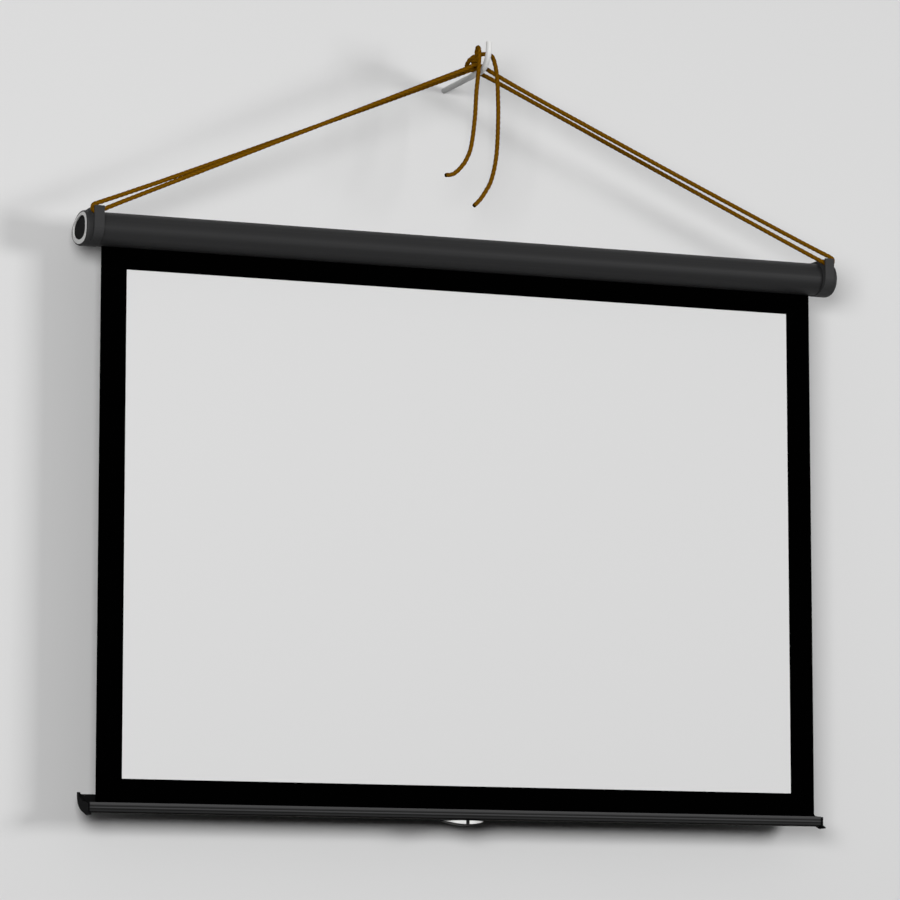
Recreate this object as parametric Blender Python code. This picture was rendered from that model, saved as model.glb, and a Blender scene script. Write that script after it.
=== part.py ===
"""Pull-down projector screen that hangs from a wall hook on a rope sling.

The origin is the middle of the hook's wall end. +X is to the right of a person
who faces the screen, +Y goes into the wall and +Z is up. All sizes are in metres.
"""

import math

import bmesh
import bpy
from mathutils import Matrix, Vector

# Clearances shared by all pieces
FIT_GAP = 0.0003
CUT_OVERRUN = 0.002
SMOOTH_ANGLE = math.radians(32)

# Wall hook
HOOK_ROD_RADIUS = 0.0063
HOOK_SHANK_LENGTH = 0.205
HOOK_BEND_RADIUS = 0.045
HOOK_TIP_LENGTH = 0.010
HOOK_BEND_STEPS = 14

# Projection sheet
SHEET_STANDOFF = 0.125
VIEW_WIDTH = 1.5
VIEW_HEIGHT = 1.039
SIDE_BORDER = 0.0553
TOP_BORDER = 0.0442
BOTTOM_BORDER = 0.0485
BACKING_THICKNESS = 0.00035
VIEW_LAYER_THICKNESS = 0.00025

# Case: an egg-shaped extrusion, fuller at the front
CASE_DROP = 0.3798
CASE_FRONT_CLEARANCE = 0.0061
CASE_BACK_REACH = 0.0586
CASE_HEIGHT = 0.0684
CASE_END_BEYOND_SHEET = 0.0107
CASE_WALL = 0.0016
CASE_TAPER_SHARE = 0.2
CASE_STEPS = 52
SLOT_FRONT = 0.0045
SLOT_BACK = 0.0060
SLOT_RETURN_HEIGHT = 0.0040
PORT_ANGLES = (math.radians(-52), math.radians(0), math.radians(58))
PORT_WALL = 0.0017
PORT_MOUTH_HALF_ANGLE = math.radians(32)
PORT_STEPS = 10

# End caps
CAP_LENGTH = 0.0345
CAP_MARGIN = 0.0012
CAP_WALL = 0.0050
CAP_EDGE_ROUND = 0.0030
CAP_WEB = 0.0040
CAP_SHELF = 0.0024
COVER_THICKNESS = 0.0026
SEAT_HEIGHT_INSET = 0.0024
SEAT_FULLNESS = 0.78
RING_OPENING_DEPTH_INSET = 0.0135
RING_OPENING_HEIGHT_INSET = 0.0102
RING_OPENING_BACK = 0.0024
RING_OPENING_UP = 0.0019
RING_THICKNESS = 0.0026
RING_RECESS = 0.0004

# Tab, neck and saddle on each end cap
TAB_WIDTH = 0.0210
TAB_INSET = 0.0009
TAB_THICKNESS = 0.0042
TAB_PROUD = 0.0091
TAB_TOP_RISE = 0.0395
TAB_ROOT_TURN = math.radians(64)
TAB_ROOT_SINK = 0.0006
TAB_ROOT_STEPS = 10
TAB_FRONT_DROP = 0.0020
NECK_RADIUS = 0.0032
NECK_RISE = 0.0356
ROPE_CHANNEL = 0.0121
SADDLE_FLAT_END = 0.0200
SADDLE_FOOT_END = 0.0370

# Screws of the end caps and the handle
SCREW_SHANK_RADIUS = 0.00165
SCREW_HEAD_RADIUS = 0.0033
SCREW_HEAD_HEIGHT = 0.0022
SCREW_REACH = 0.014
SCREW_SEGMENTS = 12

# Roller
ROLLER_RADIUS = 0.0190
ROLLER_WALL = 0.0012
WOUND_THICKNESS = 0.0013
PLUG_REACH = 0.0220
PLUG_FLANGE = 0.0020
PLUG_FLANGE_SET_IN = 0.0005
ROUND_SEGMENTS = 32

# Idle pin at the left end of the roller
IDLE_PIN_RADIUS = 0.0040
IDLE_HEAD_RADIUS = 0.0070
IDLE_HEAD_THICKNESS = 0.0020

# Spring spindle, torsion spring and drive plug
SPINDLE_RADIUS = 0.0045
SPINDLE_REACH = 0.292
SPINDLE_COLLAR_RADIUS = 0.0095
SPINDLE_COLLAR_THICKNESS = 0.0040
TONGUE_WIDTH = 0.0078
TONGUE_THICKNESS = 0.0040
SPRING_WIRE_RADIUS = 0.0009
SPRING_COIL_RADIUS = 0.0078
SPRING_TURNS = 22
SPRING_POINTS_PER_TURN = 8
DRIVE_PLUG_LENGTH = 0.0120

# Ratchet wheel and pawl
RATCHET_THICKNESS = 0.0035
RATCHET_LOW_RADIUS = 0.0070
RATCHET_HIGH_RADIUS = 0.0098
RATCHET_TEETH = 4
RATCHET_STEPS_PER_TOOTH = 8
RATCHET_STEP_ANGLE = math.radians(66)
PAWL_PIVOT_RADIUS = 0.0150
PAWL_PIVOT_ANGLE = math.radians(125)
PAWL_EYE_RADIUS = 0.0030
PAWL_PIN_RADIUS = 0.0014
PAWL_LENGTH = 0.0118
PAWL_TIP_HALF_WIDTH = 0.0010
PAWL_REST_TILT = math.radians(-3)

# Bottom bar: ribbed lip, hem channel, gutter and back wall
BAR_END_BEYOND_SHEET = 0.0137
LIP_HEIGHT = 0.0206
LIP_FRONT = 0.0060
LIP_BACK = 0.0030
LIP_GROOVE_DEPTH = 0.0012
GUTTER_CENTRE_FORWARD = 0.0060
GUTTER_DEPTH = 0.0735
GUTTER_DROP = 0.0215
BACK_WALL_RISE = 0.0195
GUTTER_CURVE_POWER = 2.3
GUTTER_STEPS = 18
BAR_WALL = 0.0020
CHANNEL_BACK = 0.0045
CHANNEL_MOUTH_BACK = 0.0015
CHANNEL_TOP_DROP = 0.0070
HEM_ROD_RADIUS = 0.0033

# Outline of the lip's front, as shares of its height and of its groove depth
LIP_RIB_SHARES = (
    (0.00, 0.25),
    (0.04, 0.0),
    (0.36, 0.0),
    (0.40, 1.0),
    (0.45, 1.0),
    (0.49, 0.0),
    (0.62, 0.0),
    (0.67, 1.0),
    (0.86, 1.0),
    (0.90, 0.0),
    (0.98, 0.0),
    (1.00, 0.25),
)

# End plates of the bottom bar
PLATE_THICKNESS = 0.0036
PLATE_MARGIN_BELOW = 0.0042
PLATE_MARGIN_BACK = 0.0015
PLATE_MARGIN_ABOVE = 0.0035
PLATE_FRONT = 0.0080
PLATE_LIP_DROP = 0.0010
TOE_REACH = 0.0125
TOE_HEIGHT = 0.0020
TOE_ROOT_HEIGHT = 0.0075
TOE_DROP = 0.0038
TOE_SOLE = 0.0130
TOE_RUN_OUT = 0.0150
PLATE_LUG_LENGTH = 0.0100
PLATE_LUG_FRONT = 0.0200
PLATE_LUG_BACK = 0.0360
PLATE_LUG_HEIGHT = 0.0040

# Pull handle: a disc's segment in plan and a crescent from the front
HANDLE_HALF_WIDTH = 0.0520
HANDLE_DROP = 0.0105
HANDLE_PLAN_RADIUS = 0.0560
HANDLE_FRONT = 0.0068
HANDLE_BACK = 0.0240
HANDLE_RIM = 0.0018
HANDLE_TOP_RIM = 0.0004
HANDLE_RIB_HALF_WIDTH = 0.0036
HANDLE_POCKET_DEPTH = 0.0020
HANDLE_PAD_PROUD = 0.0006
HANDLE_PAD_HALF_WIDTH = 0.0490
HANDLE_PAD_REACH = 0.0450
HANDLE_SCREW_X = 0.0300
HANDLE_SCREW_BACK = 0.0110
HANDLE_SCREW_HOLE_DEPTH = 0.0042
HANDLE_ARC_STEPS = 24

# Sling rope
ROPE_RADIUS = 0.00475
KNOT_TURNS = 1.25
KNOT_PITCH = 0.0102
KNOT_COIL_RADIUS = 0.0062
KNOT_POINTS_PER_TURN = 20
ROPE_STEP = 0.038
ROPE_BEND_STEP = 0.0030

# Places derived from the sizes above
SHEET_FRONT_Y = -SHEET_STANDOFF
SHEET_HALF_WIDTH = VIEW_WIDTH / 2 + SIDE_BORDER
WOUND_RADIUS = ROLLER_RADIUS + FIT_GAP + WOUND_THICKNESS
CASE_FRONT_REACH = FIT_GAP + WOUND_RADIUS * 2 + CASE_FRONT_CLEARANCE + CASE_WALL
CASE_DEPTH = CASE_FRONT_REACH + CASE_BACK_REACH
CASE_CENTRE_Y = SHEET_FRONT_Y + (CASE_BACK_REACH - CASE_FRONT_REACH) / 2
CASE_CENTRE_Z = -CASE_DROP
CASE_HALF_LENGTH = SHEET_HALF_WIDTH + CASE_END_BEYOND_SHEET
CAP_INNER_X = CASE_HALF_LENGTH + FIT_GAP
CAP_OUTER_X = CAP_INNER_X + CAP_LENGTH
CAP_FRONT_Y = CASE_CENTRE_Y - CASE_DEPTH / 2 - CAP_MARGIN
ROLLER_Y = SHEET_FRONT_Y - FIT_GAP - WOUND_RADIUS
ROLLER_Z = CASE_CENTRE_Z
ROLLER_HALF_LENGTH = SHEET_HALF_WIDTH


def egg_point(angle, inset=0.0):
    """A point of the case's section, moved inwards by inset. Angle 0 is the back."""
    half_depth = CASE_DEPTH / 2 - inset
    half_height = CASE_HEIGHT / 2 - inset
    y = CASE_CENTRE_Y + half_depth * math.cos(angle)
    z = CASE_CENTRE_Z + half_height * math.sin(angle) * (1 - CASE_TAPER_SHARE * math.cos(angle))
    return y, z


def egg_angle_below(y, inset=0.0):
    """The angle at which the lower side of the section reaches y."""
    return -math.acos((y - CASE_CENTRE_Y) / (CASE_DEPTH / 2 - inset))


def egg_outline(inset=0.0):
    """The whole section as a closed outline."""
    return [egg_point(math.tau * step / CASE_STEPS, inset) for step in range(CASE_STEPS)]


def full_outline(centre_y, centre_z, half_depth, half_height):
    """A closed outline like the case's section, with fuller shoulders."""
    points = []
    for step in range(CASE_STEPS):
        angle = math.tau * step / CASE_STEPS
        rise = math.copysign(abs(math.sin(angle)) ** SEAT_FULLNESS, math.sin(angle))
        taper = 1 - CASE_TAPER_SHARE * math.cos(angle)
        points.append((centre_y + half_depth * math.cos(angle), centre_z + half_height * rise * taper))
    return points


def seat_outline(gap=0.0):
    """The seat of the cover and the ring in a cap's end, or what lies in it with a gap."""
    half_depth = CASE_DEPTH / 2 - (CAP_WALL - CAP_MARGIN) - gap
    half_height = CASE_HEIGHT / 2 - SEAT_HEIGHT_INSET - gap
    return full_outline(CASE_CENTRE_Y, CASE_CENTRE_Z, half_depth, half_height)


SLOT_Z = egg_point(egg_angle_below(SHEET_FRONT_Y))[1]
VIEW_TOP_Z = SLOT_Z - TOP_BORDER
VIEW_BOTTOM_Z = VIEW_TOP_Z - VIEW_HEIGHT
LIP_TOP_Z = VIEW_BOTTOM_Z - BOTTOM_BORDER
HEM_ROD_Y = SHEET_FRONT_Y + (CHANNEL_BACK - LIP_BACK) / 2
HEM_ROD_Z = LIP_TOP_Z - CHANNEL_TOP_DROP - BAR_WALL - FIT_GAP - HEM_ROD_RADIUS
BAR_HALF_LENGTH = SHEET_HALF_WIDTH + BAR_END_BEYOND_SHEET
HANDLE_TOP_Z = LIP_TOP_Z - GUTTER_DROP - FIT_GAP
NECK_X = CAP_INNER_X + TAB_INSET + TAB_WIDTH * 0.7
NECK_Z = CASE_CENTRE_Z + NECK_RISE
PAWL_Y = ROLLER_Y + PAWL_PIVOT_RADIUS * math.cos(PAWL_PIVOT_ANGLE)
PAWL_Z = ROLLER_Z + PAWL_PIVOT_RADIUS * math.sin(PAWL_PIVOT_ANGLE)
DRIVE_PLUG_X = ROLLER_HALF_LENGTH - SPINDLE_REACH


def material(name, colour, roughness, metallic=0.0):
    """One Principled material."""
    shader_material = bpy.data.materials.new(name)
    shader_material.use_nodes = True
    shader = shader_material.node_tree.nodes["Principled BSDF"]
    shader.inputs["Base Color"].default_value = (*colour, 1.0)
    shader.inputs["Roughness"].default_value = roughness
    shader.inputs["Metallic"].default_value = metallic
    shader_material.diffuse_color = (*colour, 1.0)
    return shader_material


def clear_scene():
    """Remove everything that a new file starts with."""
    for old in list(bpy.data.objects):
        bpy.data.objects.remove(old, do_unlink=True)


def add_object(name, mesh, shader_material, pivot=(0.0, 0.0, 0.0)):
    """Link a mesh as an object whose origin is at pivot, with its points kept in place."""
    mesh.transform(Matrix.Translation(-Vector(pivot)))
    mesh.materials.clear()
    mesh.materials.append(shader_material)
    made = bpy.data.objects.new(name, mesh)
    made.location = pivot
    bpy.context.scene.collection.objects.link(made)
    return made


def finish_mesh(name, work):
    """Turn a bmesh into a smooth-shaded mesh with outward faces."""
    bmesh.ops.recalc_face_normals(work, faces=work.faces)
    if work.calc_volume(signed=True) < 0:
        bmesh.ops.reverse_faces(work, faces=work.faces)
    mesh = bpy.data.meshes.new(name)
    work.to_mesh(mesh)
    work.free()
    mesh.shade_smooth()
    mesh.set_sharp_from_angle(angle=SMOOTH_ANGLE)
    return mesh


def ring_loft(name, rings):
    """A solid through rings of equally many points, closed by a face at each end."""
    work = bmesh.new()
    loops = [[work.verts.new(point) for point in ring] for ring in rings]
    for first, second in zip(loops, loops[1:]):
        for index, corner in enumerate(first):
            following = (index + 1) % len(first)
            work.faces.new((corner, first[following], second[following], second[index]))
    work.faces.new(loops[0])
    work.faces.new(loops[-1])
    return finish_mesh(name, work)


def prism_x(name, outline, start, end):
    """A (y, z) outline extruded along X."""
    rings = [[(x, y, z) for y, z in outline] for x in (start, end)]
    return ring_loft(name, rings)


def prism_y(name, outline, start, end):
    """An (x, z) outline extruded along Y."""
    rings = [[(x, y, z) for x, z in outline] for y in (start, end)]
    return ring_loft(name, rings)


def prism_z(name, outline, start, end):
    """An (x, y) outline extruded along Z."""
    rings = [[(x, y, z) for x, y in outline] for z in (start, end)]
    return ring_loft(name, rings)


def frame_x(name, outer, inner, start, end):
    """The band between two (y, z) outlines of equally many points, extruded along X."""
    work = bmesh.new()
    loops = [
        [work.verts.new((x, y, z)) for y, z in outline]
        for outline, x in ((outer, start), (outer, end), (inner, end), (inner, start))
    ]
    for first, second in zip(loops, loops[1:] + loops[:1]):
        for index, corner in enumerate(first):
            following = (index + 1) % len(first)
            work.faces.new((corner, first[following], second[following], second[index]))
    return finish_mesh(name, work)


def turned_x(name, profile, centre, segments=ROUND_SEGMENTS, closed=False):
    """A profile of (x, radius) points turned about an axis along X through centre."""
    y, z = centre
    work = bmesh.new()
    corners = [work.verts.new((x, y, z + radius)) for x, radius in profile]
    edges = [work.edges.new(pair) for pair in zip(corners, corners[1:])]
    if closed:
        edges.append(work.edges.new((corners[-1], corners[0])))
    bmesh.ops.spin(
        work,
        geom=corners + edges,
        cent=(0.0, y, z),
        axis=(1.0, 0.0, 0.0),
        angle=math.tau,
        steps=segments,
        use_merge=True,
    )
    bmesh.ops.remove_doubles(work, verts=work.verts, dist=FIT_GAP / 100)
    return finish_mesh(name, work)


def cylinder(name, radius, start, end, segments=ROUND_SEGMENTS):
    """A round bar between two points."""
    span = Vector(end) - Vector(start)
    work = bmesh.new()
    bmesh.ops.create_cone(
        work,
        cap_ends=True,
        segments=segments,
        radius1=radius,
        radius2=radius,
        depth=span.length,
    )
    turn = span.to_track_quat("Z", "Y").to_matrix().to_4x4()
    middle = (Vector(start) + Vector(end)) / 2
    work.transform(Matrix.Translation(middle) @ turn)
    return finish_mesh(name, work)


def box(name, low, high):
    """A block between two corners."""
    work = bmesh.new()
    bmesh.ops.create_cube(work, size=1.0)
    low, high = Vector(low), Vector(high)
    span = high - low
    place = Matrix.Translation((low + high) / 2)
    work.transform(place @ Matrix.Diagonal((*span, 1.0)))
    return finish_mesh(name, work)


def combine(mesh, tools, operation):
    """Join tools to a mesh, or cut them out of it, one after the other."""
    for tool in tools:
        base = bpy.data.objects.new("base", mesh)
        cutter = bpy.data.objects.new("cutter", tool)
        for made in (base, cutter):
            bpy.context.scene.collection.objects.link(made)
        step = base.modifiers.new("combine", "BOOLEAN")
        step.operation = operation
        step.solver = "EXACT"
        step.object = cutter
        bpy.context.view_layer.update()
        evaluated = base.evaluated_get(bpy.context.evaluated_depsgraph_get())
        result = bpy.data.meshes.new_from_object(evaluated)
        bpy.data.objects.remove(base)
        bpy.data.objects.remove(cutter)
        mesh = result
    mesh.shade_smooth()
    mesh.set_sharp_from_angle(angle=SMOOTH_ANGLE)
    return mesh


def smooth_route(route, bend_step, straight_step):
    """Points along a smooth curve through a route, closer together where it bends."""
    points = [Vector(point) for point in route]
    padded = [points[0] * 2 - points[1], *points, points[-1] * 2 - points[-2]]
    dense = [points[0]]
    for before, start, end, after in zip(padded, padded[1:], padded[2:], padded[3:]):
        length = (end - start).length
        turn = (start - before).angle(end - start) + (end - start).angle(after - end)
        step = bend_step if turn > math.radians(12) else straight_step
        pieces = max(1, round(length / step))
        into = (end - before) * length / ((start - before).length + length)
        out = (after - start) * length / (length + (after - end).length)
        for index in range(1, pieces + 1):
            share = index / pieces
            squared = share * share
            cubed = squared * share
            dense.append(
                start * (2 * cubed - 3 * squared + 1)
                + into * (cubed - 2 * squared + share)
                + end * (3 * squared - 2 * cubed)
                + out * (cubed - squared)
            )
    return dense


def tube(name, points, radius, shader_material, resolution):
    """A round tube along points, with closed ends."""
    curve = bpy.data.curves.new(name, "CURVE")
    curve.dimensions = "3D"
    curve.bevel_depth = radius
    curve.bevel_resolution = resolution
    curve.use_fill_caps = True
    spline = curve.splines.new("POLY")
    spline.points.add(len(points) - 1)
    for corner, point in zip(spline.points, points):
        corner.co = (*point, 1.0)
        corner.radius = 1.0
    spline.use_smooth = True
    curve.materials.append(shader_material)
    made = bpy.data.objects.new(name, curve)
    bpy.context.scene.collection.objects.link(made)
    return made


def arc(centre, radius, start, end, steps):
    """Points of a flat arc round centre."""
    first, second = centre
    angles = [start + (end - start) * step / steps for step in range(steps + 1)]
    return [(first + radius * math.cos(angle), second + radius * math.sin(angle)) for angle in angles]


# Wall hook

def wall_hook(finish):
    """A straight shank out of the wall, a quarter bend and an upright tip."""
    bend_start = -HOOK_SHANK_LENGTH
    points = [(0.0, 0.0, 0.0)]
    bend = arc(
        (bend_start, HOOK_BEND_RADIUS),
        HOOK_BEND_RADIUS,
        math.radians(-90),
        math.radians(-180),
        HOOK_BEND_STEPS,
    )
    points += [(0.0, y, z) for y, z in bend]
    points.append((0.0, bend_start - HOOK_BEND_RADIUS, HOOK_BEND_RADIUS + HOOK_TIP_LENGTH))
    return tube("wall_hook", points, HOOK_ROD_RADIUS, finish, resolution=4)


# Case

def port_centre(angle):
    """The middle of a screw port, and the direction from it to the wall."""
    inner = Vector(egg_point(angle, CASE_WALL))
    outer = Vector(egg_point(angle, 0.0))
    to_wall = (outer - inner).normalized()
    port_outer = SCREW_SHANK_RADIUS + FIT_GAP + PORT_WALL
    return inner - to_wall * (port_outer - PORT_WALL / 2), to_wall


def port_outline(angle):
    """A C-shaped screw port that grows out of the inner wall, met clockwise."""
    centre, to_wall = port_centre(angle)
    facing = math.atan2(to_wall.y, to_wall.x)
    bore = SCREW_SHANK_RADIUS + FIT_GAP
    outside = bore + PORT_WALL
    root = math.acos((outside - PORT_WALL / 2) / outside)
    mouth = math.pi - PORT_MOUTH_HALF_ANGLE
    points = arc(centre, outside, facing + root, facing + mouth, PORT_STEPS // 2)
    points += arc(centre, bore, facing + mouth, facing - mouth, PORT_STEPS)
    points += arc(centre, outside, facing - mouth, facing - root, PORT_STEPS // 2)
    return points


def inner_wall_outline(front_y, back_y):
    """The inside of the case from the slot's front edge over the top to its back edge."""
    start = math.tau + egg_angle_below(front_y, CASE_WALL)
    end = egg_angle_below(back_y, CASE_WALL)
    ports = []
    for angle in PORT_ANGLES:
        centre, _ = port_centre(angle)
        outside = SCREW_SHANK_RADIUS + FIT_GAP + PORT_WALL
        span = outside / (CASE_DEPTH / 2 - abs(centre.x - CASE_CENTRE_Y) / 2)
        ports.append((angle, span))
    points = []
    for step in range(CASE_STEPS + 1):
        angle = start + (end - start) * step / CASE_STEPS
        following = start + (end - start) * (step + 1) / CASE_STEPS
        if all(abs(angle - port) > span for port, span in ports):
            points.append(egg_point(angle, CASE_WALL))
        for port, _ in ports:
            if angle >= port > following:
                points += port_outline(port)
    return points


def case_shell(finish):
    """The extruded case with the slot that the sheet comes out of."""
    front_y = SHEET_FRONT_Y - SLOT_FRONT
    back_y = SHEET_FRONT_Y + SLOT_BACK
    start = egg_angle_below(back_y)
    end = math.tau + egg_angle_below(front_y)
    outline = [egg_point(start + (end - start) * step / CASE_STEPS) for step in range(CASE_STEPS + 1)]
    front_z = outline[-1][1]
    back_z = outline[0][1]
    outline.append((front_y, front_z + SLOT_RETURN_HEIGHT))
    outline.append((front_y - CASE_WALL, front_z + SLOT_RETURN_HEIGHT))
    outline += inner_wall_outline(front_y - CASE_WALL, back_y + CASE_WALL)
    outline.append((back_y + CASE_WALL, back_z + SLOT_RETURN_HEIGHT))
    outline.append((back_y, back_z + SLOT_RETURN_HEIGHT))
    mesh = prism_x("case_shell", outline, -CASE_HALF_LENGTH, CASE_HALF_LENGTH)
    return add_object("case_shell", mesh, finish)


# End caps

def tab_outline():
    """The upright tab and its root, which curves down and fades into the cap's front."""
    front = CAP_FRONT_Y - TAB_PROUD
    back = front + TAB_THICKNESS
    top = CASE_CENTRE_Z + TAB_TOP_RISE
    chamfer = TAB_THICKNESS / 5
    inside = CAP_FRONT_Y + CAP_WALL / 2
    root_inside = []
    root_outside = []
    for step in range(TAB_ROOT_STEPS + 1):
        share = step / TAB_ROOT_STEPS
        angle = math.pi + TAB_ROOT_TURN * share
        proud = (TAB_PROUD + TAB_ROOT_SINK) * (1 + math.cos(math.pi * share)) / 2 - TAB_ROOT_SINK
        root_inside.append(egg_point(angle, CAP_WALL / 2 - CAP_MARGIN))
        root_outside.append(egg_point(angle, -CAP_MARGIN - proud))
    return [
        (front, top - chamfer),
        (front + chamfer, top),
        (back - chamfer, top),
        (back, top - chamfer),
        (back, CASE_CENTRE_Z + TAB_PROUD),
        (inside, CASE_CENTRE_Z + TAB_FRONT_DROP),
        *root_inside,
        *reversed(root_outside),
    ]


def saddle_outline():
    """The raised block behind the rope, from its face at the channel to its sloping foot."""
    front = CAP_FRONT_Y - TAB_PROUD + TAB_THICKNESS + ROPE_CHANNEL
    top = CASE_CENTRE_Z + TAB_TOP_RISE
    chamfer = TAB_THICKNESS / 5
    flat_end = SHEET_FRONT_Y + SADDLE_FLAT_END
    foot_end = SHEET_FRONT_Y + SADDLE_FOOT_END
    sunk = CASE_CENTRE_Z + CASE_HEIGHT / 4
    return [
        (front, sunk),
        (front, top - chamfer),
        (front + chamfer, top),
        (flat_end, top),
        (foot_end, sunk + CAP_WALL),
        (foot_end, sunk),
    ]


def cap_body(side):
    """The cap before its cavity is cut: rounded body, tab, saddle and neck."""
    round_out = CAP_EDGE_ROUND
    steps = (
        (CAP_INNER_X, -CAP_MARGIN),
        (CAP_OUTER_X - round_out, -CAP_MARGIN),
        (CAP_OUTER_X - round_out * (1 - math.sin(math.radians(45))), -CAP_MARGIN + round_out * 0.3),
        (CAP_OUTER_X, -CAP_MARGIN + round_out),
    )
    rings = [[(side * x, y, z) for y, z in egg_outline(inset)] for x, inset in steps]
    body = ring_loft("cap_body", rings)
    tab_inner = side * (CAP_INNER_X + TAB_INSET)
    tab_outer = side * (CAP_INNER_X + TAB_INSET + TAB_WIDTH)
    tab = prism_x("tab", tab_outline(), tab_inner, tab_outer)
    saddle = prism_x("saddle", saddle_outline(), tab_inner, tab_outer)
    neck_x = side * NECK_X
    neck_start = CAP_FRONT_Y - TAB_PROUD + TAB_THICKNESS / 2
    neck_end = CAP_FRONT_Y - TAB_PROUD + TAB_THICKNESS * 2 + ROPE_CHANNEL
    neck = cylinder("neck", NECK_RADIUS, (neck_x, neck_start, NECK_Z), (neck_x, neck_end, NECK_Z), 20)
    return combine(body, [tab, saddle, neck], "UNION")


def end_cap(side, finish):
    """One end cap: a cup that opens outwards, with a web that carries the roller."""
    name = "left_end_cap" if side < 0 else "right_end_cap"
    wall_inset = CAP_WALL - CAP_MARGIN
    shelf_x = CAP_OUTER_X - RING_RECESS - RING_THICKNESS - FIT_GAP - COVER_THICKNESS - FIT_GAP
    cavity = prism_x(
        "cavity",
        egg_outline(wall_inset + CAP_SHELF),
        side * (CAP_INNER_X + CAP_WEB),
        side * (CAP_OUTER_X + CUT_OVERRUN),
    )
    rabbet = prism_x(
        "rabbet",
        seat_outline(),
        side * shelf_x,
        side * (CAP_OUTER_X + CUT_OVERRUN),
    )
    cutters = [cavity, rabbet]
    through = (CAP_INNER_X - CUT_OVERRUN, CAP_INNER_X + CAP_WEB + CUT_OVERRUN)
    for angle in PORT_ANGLES:
        centre, _ = port_centre(angle)
        ends = [(side * x, centre.x, centre.y) for x in through]
        cutters.append(cylinder("hole", SCREW_SHANK_RADIUS + FIT_GAP, *ends, SCREW_SEGMENTS))
        ends = [(side * x, centre.x, centre.y) for x in (CAP_INNER_X + CAP_WEB, shelf_x + CUT_OVERRUN)]
        cutters.append(cylinder("well", SCREW_HEAD_RADIUS + FIT_GAP, *ends, SCREW_SEGMENTS))
    if side < 0:
        ends = [(side * x, ROLLER_Y, ROLLER_Z) for x in through]
        cutters.append(cylinder("pin_bore", IDLE_PIN_RADIUS + FIT_GAP, *ends, SCREW_SEGMENTS))
    else:
        half_width = TONGUE_WIDTH / 2 + FIT_GAP
        half_thickness = TONGUE_THICKNESS / 2 + FIT_GAP
        low = (through[0], ROLLER_Y - half_thickness, ROLLER_Z - half_width)
        high = (through[1], ROLLER_Y + half_thickness, ROLLER_Z + half_width)
        cutters.append(box("tongue_slot", low, high))
    mesh = combine(cap_body(side), cutters, "DIFFERENCE")
    return add_object(name, mesh, finish)


def cap_cover(side, finish):
    """The dark plate that closes the cap's cup and shows inside the ring."""
    name = "left_cap_cover" if side < 0 else "right_cap_cover"
    outer = CAP_OUTER_X - RING_RECESS - RING_THICKNESS - FIT_GAP
    mesh = prism_x(name, seat_outline(FIT_GAP), side * (outer - COVER_THICKNESS), side * outer)
    return add_object(name, mesh, finish)


def ring_opening():
    """The opening of the ring, a little higher and further back than the ring's outside."""
    half_depth = CASE_DEPTH / 2 - RING_OPENING_DEPTH_INSET
    half_height = CASE_HEIGHT / 2 - RING_OPENING_HEIGHT_INSET
    centre_y = CASE_CENTRE_Y + RING_OPENING_BACK
    return full_outline(centre_y, CASE_CENTRE_Z + RING_OPENING_UP, half_depth, half_height)


def cap_ring(side, finish):
    """The light ring that lies on the cover, nearly flush with the cap's end."""
    name = "left_cap_ring" if side < 0 else "right_cap_ring"
    outer = CAP_OUTER_X - RING_RECESS
    mesh = frame_x(
        name,
        seat_outline(FIT_GAP),
        ring_opening(),
        side * (outer - RING_THICKNESS),
        side * outer,
    )
    return add_object(name, mesh, finish)


def screw_profile(head, tip, direction):
    """A pan-head screw from its head's seat to its tip, as (x, radius) points."""
    top = head + direction * SCREW_HEAD_HEIGHT
    rim = head + direction * SCREW_HEAD_HEIGHT / 2
    point = tip + direction * SCREW_SHANK_RADIUS
    return [
        (top, 0.0),
        (top, SCREW_HEAD_RADIUS * 3 / 4),
        (rim, SCREW_HEAD_RADIUS),
        (head, SCREW_HEAD_RADIUS),
        (head, SCREW_SHANK_RADIUS),
        (point, SCREW_SHANK_RADIUS),
        (tip, SCREW_SHANK_RADIUS / 3),
        (tip, 0.0),
    ]


def cap_screws(side, finish):
    """The screws that go through the cap's web into the case's ports."""
    label = "left" if side < 0 else "right"
    head = side * (CAP_INNER_X + CAP_WEB + FIT_GAP)
    tip = side * (CAP_INNER_X - SCREW_REACH)
    for number, angle in enumerate(PORT_ANGLES, 1):
        name = f"{label}_cap_screw_{number}"
        centre, _ = port_centre(angle)
        mesh = turned_x(name, screw_profile(head, tip, side), centre, SCREW_SEGMENTS)
        add_object(name, mesh, finish)


# Roller and what turns with it

def roller_axis(x):
    """A point of the roller's axis."""
    return (x, ROLLER_Y, ROLLER_Z)


def roller_tube(finish):
    """The plain tube that the sheet winds on."""
    end = ROLLER_HALF_LENGTH
    bore = ROLLER_RADIUS - ROLLER_WALL
    profile = [(-end, ROLLER_RADIUS), (end, ROLLER_RADIUS), (end, bore), (-end, bore)]
    mesh = turned_x("roller_tube", profile, (ROLLER_Y, ROLLER_Z), closed=True)
    return add_object("roller_tube", mesh, finish, roller_axis(0.0))


def wound_sheet(finish):
    """The turns of sheet that stay on the roller when it is fully pulled down."""
    end = SHEET_HALF_WIDTH
    inside = ROLLER_RADIUS + FIT_GAP
    profile = [(-end, WOUND_RADIUS), (end, WOUND_RADIUS), (end, inside), (-end, inside)]
    mesh = turned_x("wound_sheet", profile, (ROLLER_Y, ROLLER_Z), closed=True)
    return add_object("wound_sheet", mesh, finish, roller_axis(0.0))


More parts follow.
